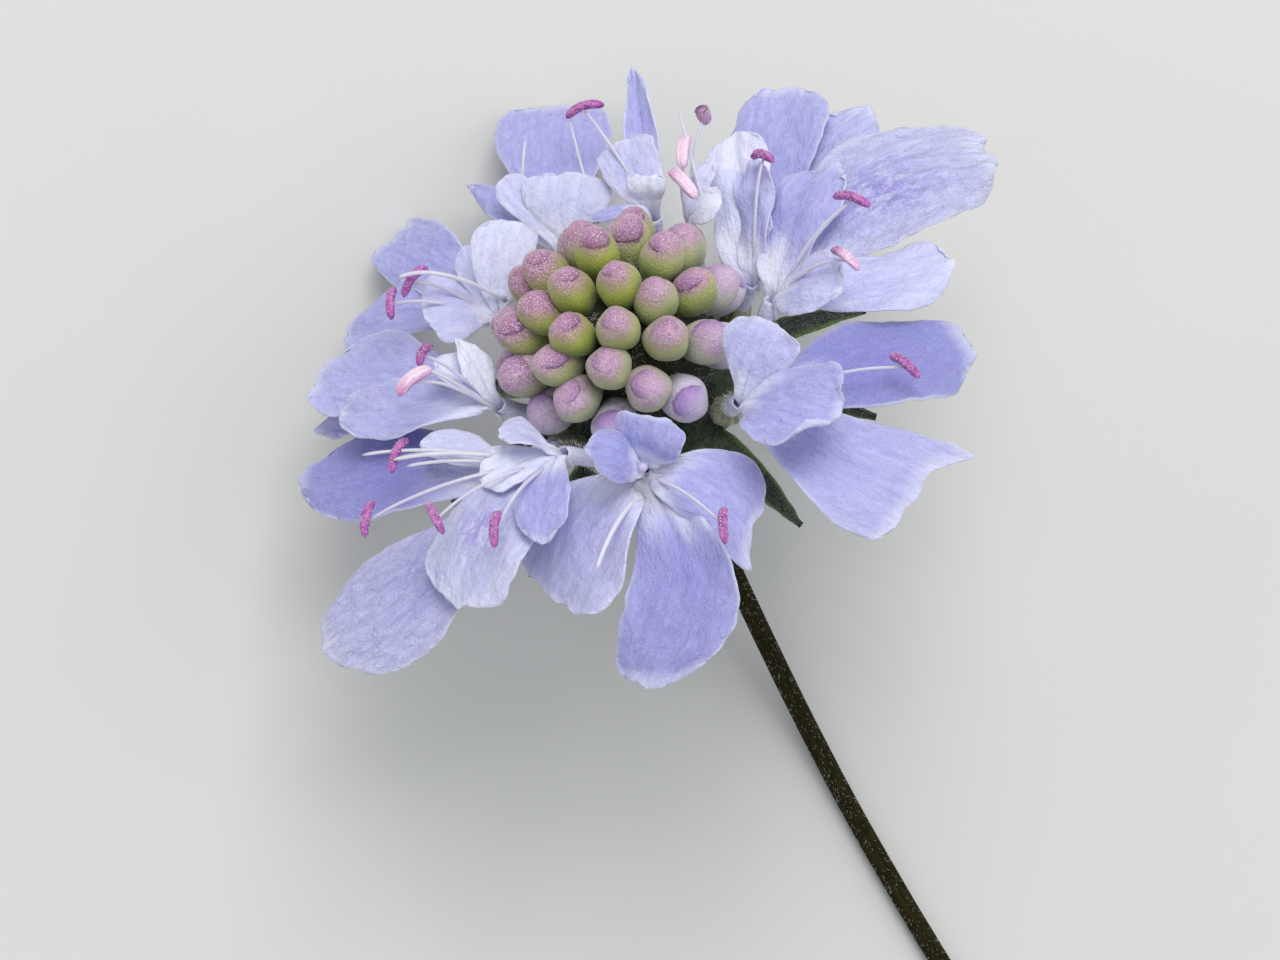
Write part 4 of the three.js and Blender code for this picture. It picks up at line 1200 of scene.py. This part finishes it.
# ---- stem ----
def build_stem(material, down, random):
    """The ribbed stem with its hollowed cut face, and its hairs."""
    line = stem_line(STEM_STEPS) + vec(HEAD[0], HEAD[1], 0)
    count = len(line)
    radius = STEM_FLAT * np.ones(count)
    flare = np.linspace(0, 1, STEM_RINGS_IN_FLARE)
    radius[:STEM_RINGS_IN_FLARE] = STEM_FLAT * (1 + (STEM_FLARE - 1) * (1 - flare) ** 1.5)
    angle = angles(SKIN_SIDES)
    place = np.arange(count)[:, None] * 0.15
    rib_count, rib_height = STEM_RIBS
    ribs = 1 - rib_height * (0.5 + 0.5 * np.cos(rib_count * angle + 0.4 * np.sin(place * 0.3)))
    knots = 1 + 0.012 * noise2(angle[None] * 2, place * 1.5, 5)
    stem = Shape()
    add_tube(stem, line, radius, SKIN_SIDES, vec(0, 0, 1), ribs * knots, cut=0.0)
    pith = []
    for step in range(PITH_RINGS + 1):
        share = 1 - step / PITH_RINGS
        across = STEM_FLAT * PITH_RADIUS * share
        y = line[-1, 1] - 0.01 + PITH_DEPTH * (1 - share)
        pith.append(np.stack([line[-1, 0] + across * np.cos(angle), np.full(SKIN_SIDES, y),
                              line[-1, 2] + across * np.sin(angle)], axis=1))
    stem.add(np.concatenate(pith), grid_faces(PITH_RINGS + 1, SKIN_SIDES, wrap=True), cut=1.0)
    stem.build("peduncle.skin", material, "stem", ["peduncle"])

    hairs = Shape()
    k = random.integers(0, count - 1, STEM_DOWN)
    t = random.random(STEM_DOWN)[:, None]
    _, normal, side = frames_along(line, vec(0, 0, 1))
    outer = spokes(normal[k], side[k], random.uniform(0, 2 * np.pi, STEM_DOWN))
    middle = line[k] * (1 - t) + line[k + 1] * t
    lean = random.normal(0, 0.3, (STEM_DOWN, 3)) + vec(0, -0.35, 0)
    roots = middle + outer * STEM_FLAT * 0.94
    lengths = random.uniform(0.08, 0.30, STEM_DOWN)
    tips = roots + unit(outer + lean) * lengths[:, None]
    clear = tips[:, 2] > 0.02
    add_hairs(hairs, roots[clear], (outer + lean)[clear], lengths[clear], STEM_HAIR)
    hairs.build("stem_hairs", down, "filament")


# ---- floor, light and camera ----
# the floor and the lamps are in metres, and a lamp's place is measured from the head
FLOOR_REACH = 1.5
KEY = {"place": (0.14, 0.28, 0.42), "size": 0.30, "power": 1.85, "colour": (1.0, 0.99, 0.98)}
FILL = {"place": (0.35, -0.15, 0.35), "size": 0.40, "power": 0.45, "colour": (0.95, 0.97, 1.0)}
SKY = (0.93, 0.96, 1.0, 1)
SKY_STRENGTH = 0.6

CAMERA_TILT = math.radians(42)  # off the face axis
CAMERA_ROLL = math.radians(24.5)
CAMERA_TURN = -12  # degrees round the face axis
CAMERA_DISTANCE = 137.0
HEAD_IN_VIEW = (-0.453, 6.30)  # how far the head is right of the middle of the view, and above it
LENS = 85
SENSOR_WIDTH = 36


def build_stage():
    n = Nodes("floor", 0.9)
    n.colour(n.mix(n.noise((0.02,) * 3), (206, 206, 202), (216, 216, 212)))
    corners = [(x * FLOOR_REACH, y * FLOOR_REACH, 0) for x, y in ((-1, -1), (1, -1), (1, 1), (-1, 1))]
    mesh = bpy.data.meshes.new("floor")
    mesh.from_pydata(corners, [], [(0, 1, 2, 3)])
    mesh.materials.append(n.material)
    floor = add_object("floor", mesh)


def add_lamp(name, place, size, power, colour):
    """A square lamp that looks at the head from a place in metres beside it."""
    lamp = bpy.data.lights.new(name, "AREA")
    lamp.size = size
    lamp.energy = power
    lamp.color = colour
    holder = add_object(name, lamp)
    holder.location = HEAD * MM + np.array(place)
    holder.rotation_euler = Vector(-np.array(place)).to_track_quat("-Z", "Y").to_euler()


def build_light():
    world = bpy.data.worlds.new("studio")
    world.use_nodes = True
    background = world.node_tree.nodes["Background"]
    background.inputs["Color"].default_value = SKY
    background.inputs["Strength"].default_value = SKY_STRENGTH
    bpy.context.scene.world = world
    add_lamp("key", **KEY)
    add_lamp("fill", **FILL)


def build_camera():
    """Looks down on the head beside its face axis, turned as the stem leaves the picture."""
    toward = math.sin(CAMERA_TILT) * outward(270 + CAMERA_TURN) + math.cos(CAMERA_TILT) * FACE
    across = outward(CAMERA_TURN)
    upward = math.cos(CAMERA_TILT) * outward(90 + CAMERA_TURN) + math.sin(CAMERA_TILT) * FACE
    right = math.cos(CAMERA_ROLL) * across - math.sin(CAMERA_ROLL) * upward
    up = math.sin(CAMERA_ROLL) * across + math.cos(CAMERA_ROLL) * upward
    place = HEAD + CAMERA_DISTANCE * toward - HEAD_IN_VIEW[0] * right - HEAD_IN_VIEW[1] * up
    camera = bpy.data.cameras.new("camera")
    camera.lens = LENS
    camera.sensor_width = SENSOR_WIDTH
    camera.clip_start = 0.01
    camera.clip_end = 10
    holder = add_object("camera", camera)
    turned_frame = Matrix((right, up, toward)).transposed().to_4x4()
    holder.matrix_world = Matrix.Translation(place * MM) @ turned_frame
    bpy.context.scene.camera = holder


random = np.random.default_rng(7)
down = down_material()
build_petals(petal_material())
build_cups(cup_material(), down, random)
build_stamens(filament_material(), anther_material(), random)
build_buds(bud_material(), down, core_material(), random)
build_involucre(bract_material(), down, random)
build_stem(stem_material(), down, random)
build_stage()
build_light()
build_camera()
bpy.context.scene.view_settings.view_transform = "Standard"
